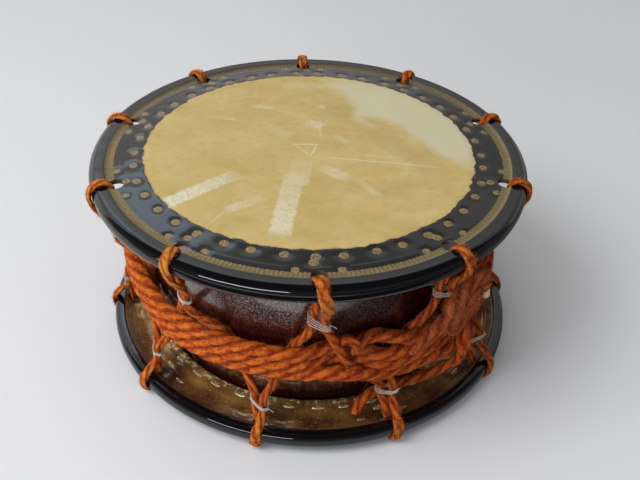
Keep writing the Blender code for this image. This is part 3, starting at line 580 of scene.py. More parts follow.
def rubbed_mark(made, flat, x, y, angle, length, width, torn, strength, faint, scratch=0.0):
    """A patch where the skin is worn: a rectangle with torn edges, fading along its length.

    Places and sizes are in millimetres. The fade goes from the share called faint at the near end to
    the whole at the far one, and the scratches cover it with short pale strokes of that size.
    """
    moved = add(made, "VectorMath", {1: (-x / 1000, -y / 1000, 0.0)}, {0: flat}, operation="ADD")
    turned_to = add(made, "VectorRotate", {"Angle": -math.radians(angle)}, {"Vector": moved})
    rough = add(made, "TexNoise", {"Scale": 350 / torn, "Detail": 6.0, "Roughness": 0.65}, {"Vector": turned_to})
    pull = add(made, "VectorMath", {1: (0.5, 0.5, 0.5)}, {0: rough.outputs["Color"]}, operation="SUBTRACT")
    pull = add(made, "VectorMath", {"Scale": 0.0032 * torn}, {0: pull}, operation="SCALE")
    spread = add(made, "VectorMath", {}, {0: turned_to, 1: pull}, operation="ADD")
    size = add(made, "VectorMath", {1: (2000 / length, 2000 / width, 0.0)}, {0: spread}, operation="MULTIPLY")
    along = add(made, "SeparateXYZ", {}, {0: size}).outputs["X"]
    sides = add(made, "VectorMath", {}, {0: size}, operation="ABSOLUTE")
    sides = add(made, "SeparateXYZ", {}, {0: sides})
    far = add(made, "Math", {}, {0: sides.outputs["X"], 1: sides.outputs["Y"]}, operation="MAXIMUM")
    soft = min(0.6, 2 * torn / width)
    mask = add(made, "MapRange", {"From Min": 1.0 + soft / 3, "From Max": 1.0 - soft}, {"Value": far})
    fade = add(made, "MapRange", {"From Min": -1.0, "From Max": 0.4, "To Min": faint * strength,
                                  "To Max": strength}, {"Value": along})
    mask = add(made, "Math", {}, {0: mask, 1: fade}, operation="MULTIPLY")
    if scratch:
        # two sets of short strokes lie over each other, and close up toward the worn end
        sets = []
        for lean in (6.0, 48.0):
            drawn = add(made, "VectorRotate", {"Angle": math.radians(lean)}, {"Vector": turned_to})
            drawn = add(made, "VectorMath", {1: (1.0, 0.2, 1.0)}, {0: drawn}, operation="MULTIPLY")
            sets.append(add(made, "TexNoise", {"Scale": 1000 / scratch, "Detail": 2.0, "Distortion": 0.6},
                            {"Vector": drawn}))
        fine = add(made, "Math", {}, {0: sets[0], 1: sets[1]}, operation="MAXIMUM")
        fine = add(made, "Math", {1: 0.055}, {0: along, 2: fine}, operation="MULTIPLY_ADD")
        strokes = add(made, "MapRange", {"From Min": 0.47, "From Max": 0.62, "To Min": 0.38}, {"Value": fine})
        mask = add(made, "Math", {}, {0: mask, 1: strokes}, operation="MULTIPLY")
    return mask


MARKS = [
    ("#AE9358", 62, 22, -53, 130, 26, 9, 0.5, 0.8),
    ("#AE9358", 20, 60, 80, 60, 30, 9, 0.25, 0.8),
    ("#C4BE9C", 92, 66, -53, 190, 62, 7, 0.95, 0.75),
    ("#C4BE9C", 55, 80, -86, 62, 40, 7, 0.9, 0.7),
    ("#CBC29C", 46, 46, -35, 30, 9, 3, 0.6, 0.5, 3),
    ("#D4CEB2", -15.2, -77, -96.2, 84, 16.5, 1.4, 0.9, 0.6, 1.1),
    ("#CCC198", -7, -36, -96.2, 36, 17.5, 1.2, 0.7, 0.5, 1.2),
    ("#D6D2BA", -81, -62.5, -138.8, 66, 14, 1.4, 0.95, 0.7, 1.1),
    ("#CDC5A2", -47, -81, -148, 34, 10, 2, 0.8, 0.5, 1.6),
    ("#CDC5A2", -64, -97, -119, 20, 2, 0.8, 0.5, 0.6),
    ("#CDC5A2", 19, -35, -36, 26, 12, 2, 0.75, 0.8, 1.6),
    ("#CDC5A2", 46, -57, -54, 24, 7, 2, 0.6, 0.7, 1.6),
    ("#D8D2B8", 54.5, -17.3, -7.2, 89, 1.5, 0.8, 0.75, 0.9),
    ("#CDC5A2", 56, -8.8, -6.5, 33, 2.6, 1.0, 0.45, 0.8),
    ("#DCD6BC", -3, 7, 2, 20, 2.0, 0.9, 0.62, 0.9),
    ("#DCD6BC", 3.6, -1.5, -106, 19, 1.8, 0.9, 0.5, 0.9),
    ("#DCD6BC", -6, -2, -52, 21, 1.6, 0.9, 0.4, 0.9),
    ("#D0C8A6", -43, 69, -8, 22, 5, 1.6, 0.8, 0.6, 1.6),
    ("#CDC5A2", -75, 47.5, -14, 36, 5, 1.6, 0.55, 0.7, 1.6),
    ("#D0C8A6", 3, 41, -30, 18, 11, 2, 0.8, 0.7, 1.6),
    ("#D0C8A6", 8.3, 34, -88, 32, 2.6, 0.8, 0.6, 0.9, 1.4),
    ("#D0C8A6", 10, 72, 0, 7, 7, 1.6, 0.6, 0.9, 1.4),
    ("#CDC5A2", -27, 28, -36, 30, 12, 3, 0.4, 0.8, 1.8),
    ("#CDC5A2", 26, 17, -44, 18, 8, 2, 0.45, 0.8, 1.8),
    ("#CDC5A2", 4, 113, 0, 60, 12, 4, 0.4, 0.8, 2),
]

gold_leaf, shader = finish("gold_leaf_under_brown_lacquer", "#8A5C30", 0.3, Metallic=0.55, Coat_Weight=0.8,
                           Coat_Roughness=0.06)
# thin brown lacquer over gold leaf: red-brown where it is thick, olive gold where it is thin
place = add(gold_leaf, "TexCoord").outputs["Object"]
worn = add(gold_leaf, "TexNoise", {"Scale": 32.0, "Detail": 5.0, "Roughness": 0.6}, {"Vector": place})
tone = add(gold_leaf, "ValToRGB", {}, {"Fac": worn})
tone.color_ramp.elements[0].color = linear("#5E2A1A")
tone.color_ramp.elements[0].position = 0.38
tone.color_ramp.elements[1].color = linear("#A87E40")
tone.color_ramp.elements[1].position = 0.66
flat = add(gold_leaf, "Mapping", {"Scale": (1.0, 1.0, 0.0)}, {"Vector": place})
reach = add(gold_leaf, "VectorMath", {}, {0: flat}, operation="LENGTH").outputs["Value"]
# painted sheen: the leaf is lighter toward the flange's inner edge
painted_inner_sheen = add(gold_leaf, "MapRange", {"From Min": 0.149, "From Max": 0.141, "To Max": 0.15}, {"Value": reach})
tone = add(gold_leaf, "MixRGB", {"Color2": linear("#B8924E")}, {"Color1": tone, "Fac": painted_inner_sheen})
speck = add(gold_leaf, "TexNoise", {"Scale": 600.0, "Detail": 2.0}, {"Vector": place})
speck = add(gold_leaf, "MapRange", {"From Min": 0.60, "From Max": 0.72, "To Max": 0.5}, {"Value": speck})
tone = add(gold_leaf, "MixRGB", {"Color2": linear("#E0C888")}, {"Color1": tone, "Fac": speck})
# painted highlight: the bead at the flange's edge is painted pale gold in broken specks
painted_bead_glint = add(gold_leaf, "TexNoise", {"Scale": 260.0, "Detail": 3.0, "Roughness": 0.7}, {"Vector": place})
painted_bead_glint = add(gold_leaf, "MapRange", {"From Min": 0.50, "From Max": 0.58}, {"Value": painted_bead_glint})
bead = add(gold_leaf, "MapRange", {"From Min": 0.1385, "From Max": 0.1365}, {"Value": reach})
bead = add(gold_leaf, "Math", {}, {0: bead, 1: painted_bead_glint}, operation="MULTIPLY")
tone = add(gold_leaf, "MixRGB", {"Color2": linear("#F2DCA0")}, {"Color1": tone, "Fac": bead})
wire(gold_leaf, tone, shader.inputs["Base Color"])
cockle = add(gold_leaf, "TexNoise", {"Scale": 120.0, "Detail": 4.0}, {"Vector": place})
bump = add(gold_leaf, "Bump", {"Strength": 0.5, "Distance": 0.001}, {"Height": cockle})
wire(gold_leaf, bump, shader.inputs["Normal"])

# the cut hide of the hole walls and of the heads' inner faces, painted dark: painted shade inside the rope holes
raw_hide_with_painted_shade, shader = finish("raw_cut_hide_painted_dark", "#A89684", 0.7)
place = add(raw_hide_with_painted_shade, "TexCoord").outputs["Object"]
fleck = add(raw_hide_with_painted_shade, "TexNoise", {"Scale": 500.0, "Detail": 4.0}, {"Vector": place})
tone = add(raw_hide_with_painted_shade, "MixRGB", {"Color1": linear("#3A2F2A"), "Color2": linear("#6E6056")}, {"Fac": fleck})
wire(raw_hide_with_painted_shade, tone, shader.inputs["Base Color"])

def stitch_finish(name, dark, gold, light, roughness):
    """Gold powder over the thread, flecked with brown, with a painted highlight round the edge of each stitch."""
    made, shader = finish(name, gold, roughness, Metallic=0.6)
    place = add(made, "TexCoord").outputs["Object"]
    speck = add(made, "TexNoise", {"Scale": 900.0, "Detail": 4.0}, {"Vector": place})
    tone = add(made, "ValToRGB", {}, {"Fac": speck})
    tone.color_ramp.elements[0].color = linear(dark)
    tone.color_ramp.elements[0].position = 0.36
    tone.color_ramp.elements[1].color = linear(gold)
    tone.color_ramp.elements[1].position = 0.52
    outline = add(made, "Attribute", attribute_name="outline").outputs["Fac"]
    tone = add(made, "MixRGB", {"Color2": linear(light)}, {"Fac": outline, "Color1": tone})
    wire(made, tone, shader.inputs["Base Color"])
    return made


rim_gold = stitch_finish("gold_powder_on_rim_stitches", "#4E3C22", "#9C865A", "#CDBB8C", 0.42)
leaf_gold = stitch_finish("gold_leaf_on_flange_stitches", "#7A5828", "#F0D490", "#FFF2C8", 0.16)
# each ring of a pad: its share of the pad's half sizes, and its height
RIM_PAD = ((0.90, -0.00010), (1.0, 0.0), (0.84, 0.00010), (0.30, 0.00012))
FLANGE_PAD = ((1.0, -0.0005), (0.86, 0.0005), (0.62, 0.0006), (0.25, 0.0001))


def make_stitches(head, inside):
    """Every stitch as an oval pad of four rings; those on the flange are ridges round a furrow."""
    spots, turns, sizes = stitch_spots(head)
    ring = np.arange(14) * 2 * math.pi / 14
    long_half, short_half, pad = (0.0052, 0.0014, FLANGE_PAD) if inside else (0.0045, 0.0040, RIM_PAD)
    share, high = np.array(pad).T
    around = np.outer(share, np.cos(ring) * squared(ring)) * long_half
    inward = np.outer(share, np.sin(ring) * squared(ring)) * short_half
    up = np.outer(high, np.ones(14))
    points, faces = [], []
    for i, (r, a, size) in enumerate(zip(spots, turns, sizes)):
        reach = r + inward * size * (1 + 0.12 * math.sin(i * 5.1))
        if inside:
            rows = flange_rise(reach) + 0.0004 - up
        else:
            rows = skin_rise(reach) + COAT - DENT * size * 0.85 + up
        azimuth = a + around * size / r * (1 + 0.10 * math.sin(i * 3.7))
        dome = np.stack([head["centre"] + reach * np.cos(azimuth), reach * np.sin(azimuth),
                         MIDDLE + head["side"] * (HALF_SPACING + rows)], axis=-1).reshape(-1, 3)
        first = len(points)
        points += dome.tolist()
        for k in range(3):
            for j in range(14):
                n = (j + 1) % 14
                faces.append((first + k * 14 + j, first + k * 14 + n, first + k * 14 + 14 + n, first + k * 14 + 14 + j))
        faces.append(tuple(first + 42 + j for j in range(14)))
        faces.append(tuple(first + j for j in reversed(range(14))))
    side = head["side"] * (-1.0 if inside else 1.0)
    mesh = bpy.data.meshes.new("stitches")
    mesh.from_pydata(points, [], faces)
    mesh.shade_smooth()
    mesh.materials.append(leaf_gold if inside else rim_gold)
    # painted highlight: the two outer rings of each pad carry the light colour
    outline = np.tile(np.repeat([1.0, 0.9, 0.1, 0.0], 14), len(spots))
    mesh.attributes.new("outline", "FLOAT", "POINT").data.foreach_set("value", outline.astype(np.float32))
    if side > 0:
        mesh.flip_normals()
    name = head["name"] + ("_flange_stitches" if inside else "_rim_stitches")
    made = bpy.data.objects.new(name, mesh)
    scene.collection.objects.link(made)
    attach(made, "root")


for head in (TOP, BOTTOM):
    outer = hide_finish(head["name"] + "_rawhide_and_urushi", head, MARKS if head is TOP else [])
    piece = make_head(head, [outer, gold_leaf, raw_hide_with_painted_shade])
    bore_holes(head, piece)
    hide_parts(head["name"] + "_head_skin")
    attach(piece, "root")
    make_stitches(head, False)
    make_stitches(head, True)

# Rings and stitching thread
# Forged iron rings lie inside the folded rims, and waxed hemp thread runs between the two layers of
# hide. Neither shows on the finished drum.
iron, shader = finish("forged_iron", "#4A4644", 0.6, Metallic=1.0)
place = add(iron, "TexCoord").outputs["Object"]
scale = add(iron, "TexNoise", {"Scale": 200.0, "Detail": 4.0}, {"Vector": place})
tone = add(iron, "MixRGB", {"Color1": linear("#3A2E28"), "Color2": linear("#5C5A58")}, {"Fac": scale})
wire(iron, tone, shader.inputs["Base Color"])
hemp, shader = finish("waxed_hemp_thread", "#9C8250", 0.7)
place = add(hemp, "TexCoord").outputs["Object"]
twist = add(hemp, "TexNoise", {"Scale": 900.0, "Detail": 2.0}, {"Vector": place})
tone = add(hemp, "MixRGB", {"Color1": linear("#7A6238"), "Color2": linear("#B89C64")}, {"Fac": twist})
wire(hemp, tone, shader.inputs["Base Color"])
for head in (TOP, BOTTOM):
    for piece, material in (("_iron_ring", iron), ("_stitch_thread", hemp)):
        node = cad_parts[head["name"] + piece]
        node.data.materials.clear()
        node.data.materials.append(material)

# Lacing rope
# One soft-laid hemp rope dyed orange goes through the ten holes of each head in turn and over both
# rims, down and up the drum, and its two ends butt together under the string of the back loop.
ROPE_RADIUS = 0.0039
FLAT_HALF_WIDTH = 0.0050
FLAT_HALF_DEPTH = 0.0021
HOLE_HALF_WIDTH = 0.0040
FULL = 0.90
LEG_RADIUS = 0.1438
LAY = 0.046
TIE_SPREAD = 0.0038
TIE_SQUEEZE = 0.87
TIE_HALF_HEIGHT = 0.0028
TOP_TIE_DROPS = (0.036, 0.035, 0.037, 0.038, 0.036, 0.037, 0.038, 0.037, 0.037, 0.037)
BOTTOM_TIE_DROPS = (0.024, 0.029, 0.028, 0.027, 0.026, 0.028, 0.027, 0.027, 0.028, 0.028)
PULLED_TIE = 1
PULLED_IN = 0.0045
BAND_TOP = -0.0004
BAND_PITCH = 0.0095
BAND_LOW = BAND_TOP - 2 * BAND_PITCH
BAND_START = math.radians(-76.0)
BUMP_RISE = 0.014
BUMP_AZIMUTH = math.radians(-168.0)
BUMP_HALF_WIDTH = math.radians(24.0)
SHELL_CENTRE = np.array([-HEAD_SHIFT / 2, 0.0, 0.0])
UP = np.array([0.0, 0.0, 1.0])


def radial(azimuth):
    return np.array([math.cos(azimuth), math.sin(azimuth), 0.0])


def sideways(azimuth):
    return np.array([-math.sin(azimuth), math.cos(azimuth), 0.0])


def round_drum(azimuth, radius, rise):
    """A point round the shell's axis."""
    return SHELL_CENTRE + radial(azimuth) * radius + UP * (MIDDLE + rise)


def at_head(head, azimuth, radius, rise, along=0.0):
    """A point at a head, its rise measured outwards from the middle of the rim."""
    centre = np.array([head["centre"], 0.0, MIDDLE + head["side"] * (HALF_SPACING + rise)])
    return centre + radial(azimuth) * radius + sideways(azimuth) * along


def turned_by(azimuth, origin):
    return (azimuth - origin + math.pi) % (2 * math.pi) - math.pi


def bump_at(azimuth):
    return BUMP_RISE * math.exp(-((turned_by(azimuth, BUMP_AZIMUTH) / BUMP_HALF_WIDTH) ** 4))


def tie_radii(head, number):
    pull = PULLED_IN if head is BOTTOM and number == PULLED_TIE else 0.0
    return 0.1565 - pull, 0.1615 - pull


def tie_sides(head, number):
    """How far the two legs stand to the left and right of the hole at a tie."""
    return (-0.0029, 0.0050) if head is TOP and number == 0 else (-TIE_SPREAD, TIE_SPREAD)


def loop_over_rim(head, number, drop):
    """Rows of one rim pass: place, half width, half depth and how worn the rope is there."""
    azimuth = head["phase"] + number * LOOP_STEP
    inner, outer = tie_radii(head, number)
    squeeze = ROPE_RADIUS * TIE_SQUEEZE
    front = head is TOP and number == 0
    hole = hole_place(head, number) + (0.0048 if front else 0.0035)
    flat = 1.06 if front else 0.96
    hug = ROLL_RADIUS + 0.0021
    left, right = tie_sides(head, number)
    rows = [(inner, end - drop, left, squeeze, squeeze, 0.0)
            for end in (-TIE_HALF_HEIGHT, TIE_HALF_HEIGHT)]
    rows += [(hole - 0.0012, -drop * 0.5, left * 0.5, ROPE_RADIUS, ROPE_RADIUS, 0.0),
             (hole - 0.0004, -0.0060, 0.0, HOLE_HALF_WIDTH, FLAT_HALF_DEPTH * 1.15, 0.2),
             (hole, 0.0030, 0.0, HOLE_HALF_WIDTH, FLAT_HALF_DEPTH, 0.6)]
    width, depth = FLAT_HALF_WIDTH * flat, FLAT_HALF_DEPTH * (1.3 if front else 1.05)
    turn = np.radians([104.0 if front else 118.0, 88.0, 64.0, 41.0, 18.0, -6.0, -26.0])
    over = hug * roll_reach(turn)[:, None] * np.stack([np.cos(turn), np.sin(turn)], axis=1)
    swing = right * np.linspace(-0.1, 0.9 if front else 0.5, 7)
    rows += [(ROLL_CENTRE + u, v, aside, width, depth, 0.75) for (u, v), aside in zip(over, swing)]
    rows += [(outer, end - drop, right, squeeze, squeeze, 0.1)
             for end in (TIE_HALF_HEIGHT, -TIE_HALF_HEIGHT)]
    return [(*at_head(head, azimuth, r, rise, along), w, d, worn)
            for r, rise, along, w, d, worn in rows]


def leg_between(start, end):
    """A leg of the lacing between two ties, pulled in to the shell by the tension rope."""
    start, end = np.array(start[:3]) - SHELL_CENTRE, np.array(end[:3]) - SHELL_CENTRE
    first, last = math.atan2(start[1], start[0]), math.atan2(end[1], end[0])
    last = first + turned_by(last, first)

    def azimuth_at(rise):
        return first + (last - first) * (MIDDLE + rise - start[2]) / (end[2] - start[2])

    bends = [(BAND_TOP + 0.0085, 0.0052), (BAND_TOP + 0.0028, 0.0012),
             (BAND_LOW - 0.0028, 0.0012), (BAND_LOW - 0.0085, 0.0042)]
    fourth = BAND_LOW - BAND_PITCH
    if 0 < turned_by(azimuth_at(fourth), BAND_START) < math.radians(32):
        bends[2:] = [(fourth, 0.0002), (fourth - 0.0040, 0.0016)]
    if start[2] < end[2]:
        bends.reverse()
    rows = []
    for rise, out in bends:
        rise += bump_at(azimuth_at(rise + bump_at(azimuth_at(rise))))
        rows.append((*round_drum(azimuth_at(rise), LEG_RADIUS + out, rise), ROPE_RADIUS, ROPE_RADIUS, 0.0))
    return rows


# The leg at the front that passes over two turns of the tension rope and under the third
CROSSING_LEG = ((-84.7, 0.0128, 0.0250), (-83.0, 0.0108, 0.0140), (-81.4, 0.0104, 0.0050),
                (-79.6, 0.0098, -0.0070), (-78.3, 0.0078, -0.0130), (-77.0, 0.0046, -0.0190),
                (-75.2, 0.0016, -0.0260), (-73.6, 0.0010, -0.0305), (-70.1, 0.0056, -0.0360))


def lacing_rows():
    rows = []
    for n in range(LOOPS):
        k = (LOOPS // 2 + n) % LOOPS
        m = (k + 1) % LOOPS
        top = loop_over_rim(TOP, k, TOP_TIE_DROPS[k])
        low = loop_over_rim(BOTTOM, m, BOTTOM_TIE_DROPS[m])
        after = loop_over_rim(TOP, m, TOP_TIE_DROPS[m])
        if k == 0:
            down = [(*round_drum(math.radians(a), LEG_RADIUS + out, z), ROPE_RADIUS, ROPE_RADIUS, 0.0)
                    for a, out, z in CROSSING_LEG]
        else:
            down = leg_between(top[-1], low[0])
        rows += top + down + low + leg_between(low[-1], after[0])
    first = np.array(rows[0])
    lift = np.array([0.0, 0.0, TIE_HALF_HEIGHT, 0.0, 0.0, 0.0])
    return [first + lift * 1.15] + rows[1:] + [first, first + lift * 0.9]


def even_line(rows, spacing):
    """Cuts a smooth line through rows at an even spacing.

    Each span is Hermite's cubic between two rows, with the slope at a row taken from its two
    neighbours, and the cubic is then measured along and re-cut.
    """
    rows = np.asarray(rows, dtype=float)
    step = np.linalg.norm(np.diff(rows[:, :3], axis=0), axis=1)
    slope = np.gradient(rows, np.concatenate([[0.0], np.cumsum(step)]), axis=0)
    f = np.linspace(0.0, 1.0, 20, endpoint=False)[None, :, None]
    gap = step[:, None, None]
    a, b = rows[:-1, None], rows[1:, None]
    from_a, to_b = slope[:-1, None] * gap, slope[1:, None] * gap
    dense = ((2 * f ** 3 - 3 * f ** 2 + 1) * a + (f ** 3 - 2 * f ** 2 + f) * from_a
             + (3 * f ** 2 - 2 * f ** 3) * b + (f ** 3 - f ** 2) * to_b).reshape(-1, rows.shape[1])
    dense = np.concatenate([dense, rows[-1:]])
    at = np.concatenate([[0.0], np.cumsum(np.linalg.norm(np.diff(dense[:, :3], axis=0), axis=1))])
    cuts = np.linspace(0.0, at[-1], max(2, round(at[-1] / spacing) + 1))
    return np.stack([np.interp(cuts, at, column) for column in dense.T], axis=1), cuts


def unit(rows):
    return rows / np.linalg.norm(rows, axis=-1, keepdims=True)


def rope_frame(path, hints):
    """Directions along, across and out of a path: across is the hint made square to the path."""
    along = unit(np.gradient(path, axis=0))
    across = unit(hints - along * np.sum(hints * along, axis=1, keepdims=True))
    return along, across, np.cross(along, across)


def roughness(rows, columns, spacing, seed):
    """Random bumps of a fibrous surface: white noise blurred round the rope and, more, along it."""
    noise = np.random.default_rng(int(seed * 10) + rows).standard_normal((rows, columns))
    for axis, reach in ((1, 1), (0, max(1, round(0.0012 / spacing)))):
        for _ in range(2):
            noise = sum(np.roll(noise, k, axis=axis) for k in range(-reach, reach + 1)) / (2 * reach + 1)
    return np.clip(noise / noise.std(), -2.2, 2.2) * 0.045


def laid_rope(name, line, cuts, hints, lay, strands, sides, material, full=1.0, relief=1.0, seed=0.0, press=2.0):
    """A laid rope: a section of touching round strands, turned evenly as it goes along the path.

    A strand's edge at an angle off its middle is d cos(angle) + sqrt(s^2 - d^2 sin^2(angle)), with
    the strand's radius s and its centre's distance d, d + s = 1. Each ring is that section turned
    left-handed by one whole turn for each lay, then pressed to its half width and half depth, and
    flattened where it rests on the floor. A press above 2 squares the section, as where turns touch.
    """
    path, width, depth, worn = line[:, :3], line[:, 3], line[:, 4], line[:, 5]
    _, across, out = rope_frame(path, hints)
    turn = np.arange(sides) * 2 * math.pi / sides
    sector = 2 * math.pi / strands
    off = (turn + sector / 2) % sector - sector / 2
    d, s = (0.40, 0.60) if strands > 2 else (0.46, 0.54)
    edge = d * np.cos(off) + np.sqrt(np.maximum(s * s - (d * np.sin(off)) ** 2, 0.0))
    hollow = (1 - edge) / (1 - edge.min())
    edge = 1 - relief * (1 - edge)
    twist = seed - 2 * math.pi * cuts / lay
    angle = turn[None, :] + twist[:, None]
    lumps = np.sin(cuts * 131 + seed) + np.sin(cuts * 307 + 2.1 * seed)
    uneven = 1 + 0.022 * lumps[:, None] + roughness(len(cuts), sides, cuts[1], seed)
    reach = edge[None, :] * uneven * full * squared(angle, press)
    ring = (path[:, None]
            + across[:, None] * (reach * np.cos(angle) * width[:, None])[..., None]
            + out[:, None] * (reach * np.sin(angle) * depth[:, None])[..., None])
    ring[..., 2] = np.maximum(ring[..., 2], 0.0)
    made = lay_quads(name, ring, [material], around=True, ends=True)
    mesh = made.data
    fibre = turn[None, :] + 0.30 * twist[:, None]
    straight = np.stack([np.broadcast_to(cuts[:, None] + seed, ring.shape[:2]),
                         0.004 * np.cos(fibre), 0.004 * np.sin(fibre)], axis=-1)
    mesh.attributes.new("straightened", "FLOAT_VECTOR", "POINT").data.foreach_set(
        "vector", straight.astype(np.float32).ravel())
    hollow = np.broadcast_to(hollow, ring.shape[:2])
    mesh.attributes.new("hollow", "FLOAT", "POINT").data.foreach_set(
        "value", hollow.astype(np.float32).ravel())
    mesh.attributes.new("worn", "FLOAT", "POINT").data.foreach_set(
        "value", np.repeat(worn, sides).astype(np.float32))
    return made, ring


def fuzz(name, coats, count, length, thick, joints, material, seed):
    """Loose fibres on ropes: each is a thin spike, base + t L lean + t^2 L bend, in a few joints.

    They are drawn about twice as thick as real fibres, so that they show from the camera.
    """
    chance = np.random.default_rng(seed)
    share = np.array([len(coat) for coat in coats]) / sum(len(coat) for coat in coats)
    base, outwards, along = [], [], []
    for coat, part in zip(coats, share):
        number = int(count * part)
        row = chance.integers(1, len(coat) - 2, number)
        side = chance.integers(0, coat.shape[1], number)
        middle = coat.mean(axis=1)
        base.append(coat[row, side])
        outwards.append(unit(coat[row, side] - middle[row]))
        along.append(unit(middle[row + 1] - middle[row]))
    base, outwards, along = np.concatenate(base), np.concatenate(outwards), np.concatenate(along)
    number = len(base)
    way = np.where(chance.random(number) < 0.5, 1.0, -1.0) * (0.6 + 0.6 * chance.random(number))
    lean = unit(outwards * (0.2 + 0.7 * chance.random((number, 1))) + along * way[:, None]
                + 0.5 * chance.standard_normal((number, 3)))
    bend = 0.45 * chance.standard_normal((number, 3)) - 0.15 * outwards
    reach = length * (0.35 + 0.65 * chance.random(number) ** 2)[:, None]
    steps = np.linspace(0.0, 1.0, joints + 1)
    spine = np.stack([base + reach * (t * lean + t * t * bend) for t in steps], axis=1)
    above_floor = spine[..., 2].min(axis=1) > 2 * thick
    spine, lean = spine[above_floor], lean[above_floor]
    number = len(spine)
    beside = unit(np.cross(lean, chance.standard_normal((number, 3))))
    above = np.cross(lean, beside)
    corner = np.arange(3) * 2 * math.pi / 3
    section = beside[:, None] * np.cos(corner)[None, :, None] + above[:, None] * np.sin(corner)[None, :, None]
    taper = thick * (1 - 0.65 * steps)
    points = spine[:, :, None] + section[:, None] * taper[None, :, None, None]
    first = np.arange(number)[:, None] * 3 * (joints + 1)
    quads = np.concatenate([first + [k * 3 + j, k * 3 + (j + 1) % 3, k * 3 + 3 + (j + 1) % 3, k * 3 + 3 + j]
                            for k in range(joints) for j in range(3)])
    ends = np.concatenate([first + [2, 1, 0], first + 3 * joints + [0, 1, 2]])
    mesh = bpy.data.meshes.new(name)
    mesh.from_pydata(points.reshape(-1, 3), [], quads.tolist() + ends.tolist())
    mesh.materials.append(material)
    made = bpy.data.objects.new(name, mesh)
    scene.collection.objects.link(made)
    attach(made, "root")


def rope_finish(name, dark, middle, light, faded, yarn, right_shade_tint=None):
    """Dyed plant fibre: painted shade between the strands and a painted highlight on their crests, streaked along the
    fibres, faded where rubbed.
    """
    made, shader = finish(name, middle, 0.9, Sheen_Weight=0.2, Sheen_Roughness=0.5,
                          Specular_IOR_Level=0.15)
    shader.inputs["Sheen Tint"].default_value = linear(light)
    straight = add(made, "Attribute", attribute_name="straightened").outputs["Vector"]
    hollow = add(made, "Attribute", attribute_name="hollow").outputs["Fac"]
    worn = add(made, "Attribute", attribute_name="worn").outputs["Fac"]
    drawn = add(made, "Mapping", {"Scale": (0.16, 1.0, 1.0)}, {"Vector": straight})
    fibre = add(made, "TexNoise", {"Scale": 1 / yarn, "Detail": 5.0, "Roughness": 0.65}, {"Vector": drawn})
    patch = add(made, "TexNoise", {"Scale": 0.25 / yarn, "Detail": 3.0}, {"Vector": straight})
    hair = add(made, "Mapping", {"Scale": (0.3, 1.0, 1.0)}, {"Vector": straight})
    hair = add(made, "TexNoise", {"Scale": 2.6 / yarn, "Detail": 2.0}, {"Vector": hair})
    blend = add(made, "Math", {1: 0.32, 2: 0.0}, {0: patch}, operation="MULTIPLY_ADD")
    blend = add(made, "Math", {1: 0.36}, {0: fibre, 2: blend}, operation="MULTIPLY_ADD")
    blend = add(made, "Math", {1: 0.32}, {0: hair, 2: blend}, operation="MULTIPLY_ADD")
    # painted highlight on the crests of the strands
    painted_crest_highlight = add(made, "MapRange", {"From Min": 0.55, "From Max": 0.0, "To Max": 0.07}, {"Value": hollow})
    blend = add(made, "Math", {}, {0: blend, 1: painted_crest_highlight}, operation="ADD")
    tone = add(made, "ValToRGB", {}, {"Fac": blend})
    tone.color_ramp.elements[0].position = 0.41
    tone.color_ramp.elements[0].color = linear(dark)
    tone.color_ramp.elements[1].position = 0.61
    tone.color_ramp.elements[1].color = linear(light)
    tone.color_ramp.elements.new(0.50).color = linear(middle)
    rubbed = add(made, "MapRange", {"From Min": 0.40, "From Max": 0.58}, {"Value": patch})
    fade = add(made, "Math", {1: 0.85}, {0: worn}, operation="MULTIPLY")
    fade = add(made, "Math", {}, {0: fade, 1: rubbed}, operation="MULTIPLY")
    tone = add(made, "MixRGB", {"Color2": linear(faded)}, {"Color1": tone, "Fac": fade})
    # painted shade in the hollows between the strands
    deep = add(made, "MapRange", {"From Min": 0.20, "From Max": 1.0, "To Max": 0.75}, {"Value": hollow})
    tone = add(made, "MixRGB", {"Color2": linear(dark)}, {"Color1": tone, "Fac": deep})
    if right_shade_tint:
        # painted shade: the rope is darkened and reddened toward the right of the drum
        place = add(made, "TexCoord").outputs["Object"]
        across = add(made, "SeparateXYZ", {}, {0: place}).outputs["X"]
        kept = add(made, "MapRange", {"From Min": -0.09, "From Max": 0.13, "To Max": 0.75}, {"Value": across})
        tone = add(made, "MixRGB", {"Color2": linear(right_shade_tint)}, {"Color1": tone, "Fac": kept},
                   blend_type="MULTIPLY")
    wire(made, tone, shader.inputs["Base Color"])
    shag = add(made, "Math", {1: 0.5}, {0: hair, 2: fibre}, operation="MULTIPLY_ADD")
    bump = add(made, "Bump", {"Strength": 1.0, "Distance": 0.0011}, {"Height": shag})
    wire(made, bump, shader.inputs["Normal"])
    return made


orange_hemp = rope_finish("orange_dyed_hemp_rope", "#701E0E", "#AA431B", "#DC792C", "#D0983E", 0.0009,
                          right_shade_tint="#C8A094")
coats = []
rows = lacing_rows()
line, cuts = even_line(rows, 0.0011)
hints = np.stack([-(line[:, 1]), line[:, 0] + HEAD_SHIFT / 2, np.zeros(len(line))], axis=1)
lacing, coat = laid_rope("lacing_rope_laid", line, cuts, hints, LAY, 3, 24, orange_hemp, FULL, 0.85)
coats.append(coat)
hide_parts("lacing_rope")
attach(lacing, "root")

# Tension rope
# A second rope of the same make, hitched to one leg of the lacing at the front, wound three times
# round the drum, pulled tight and knotted on the right. Its tail is tucked behind two legs.
TENSION_RADIUS = 0.0043
BELLY_LEAN = 0.0006
BAND_RADIUS = 0.153010
BAND_TURNS = 3
BAND_STEP = 0.09
BAND_END_TURN = 3.045
BAND_FACETS = 24
CROSSING_AZIMUTH = math.radians(-80.3)
GAP = 0.0004
HITCH_RADIUS = 0.0027
KNOT_AZIMUTH = math.radians(-41.5)
KNOT_RISE = -0.0204
KNOT_LOOP_RADIUS = 0.0070
KNOT_OUT = 0.0061


def smooth_step(value):
    value = min(max(value, 0.0), 1.0)
    return value * value * (3 - 2 * value)


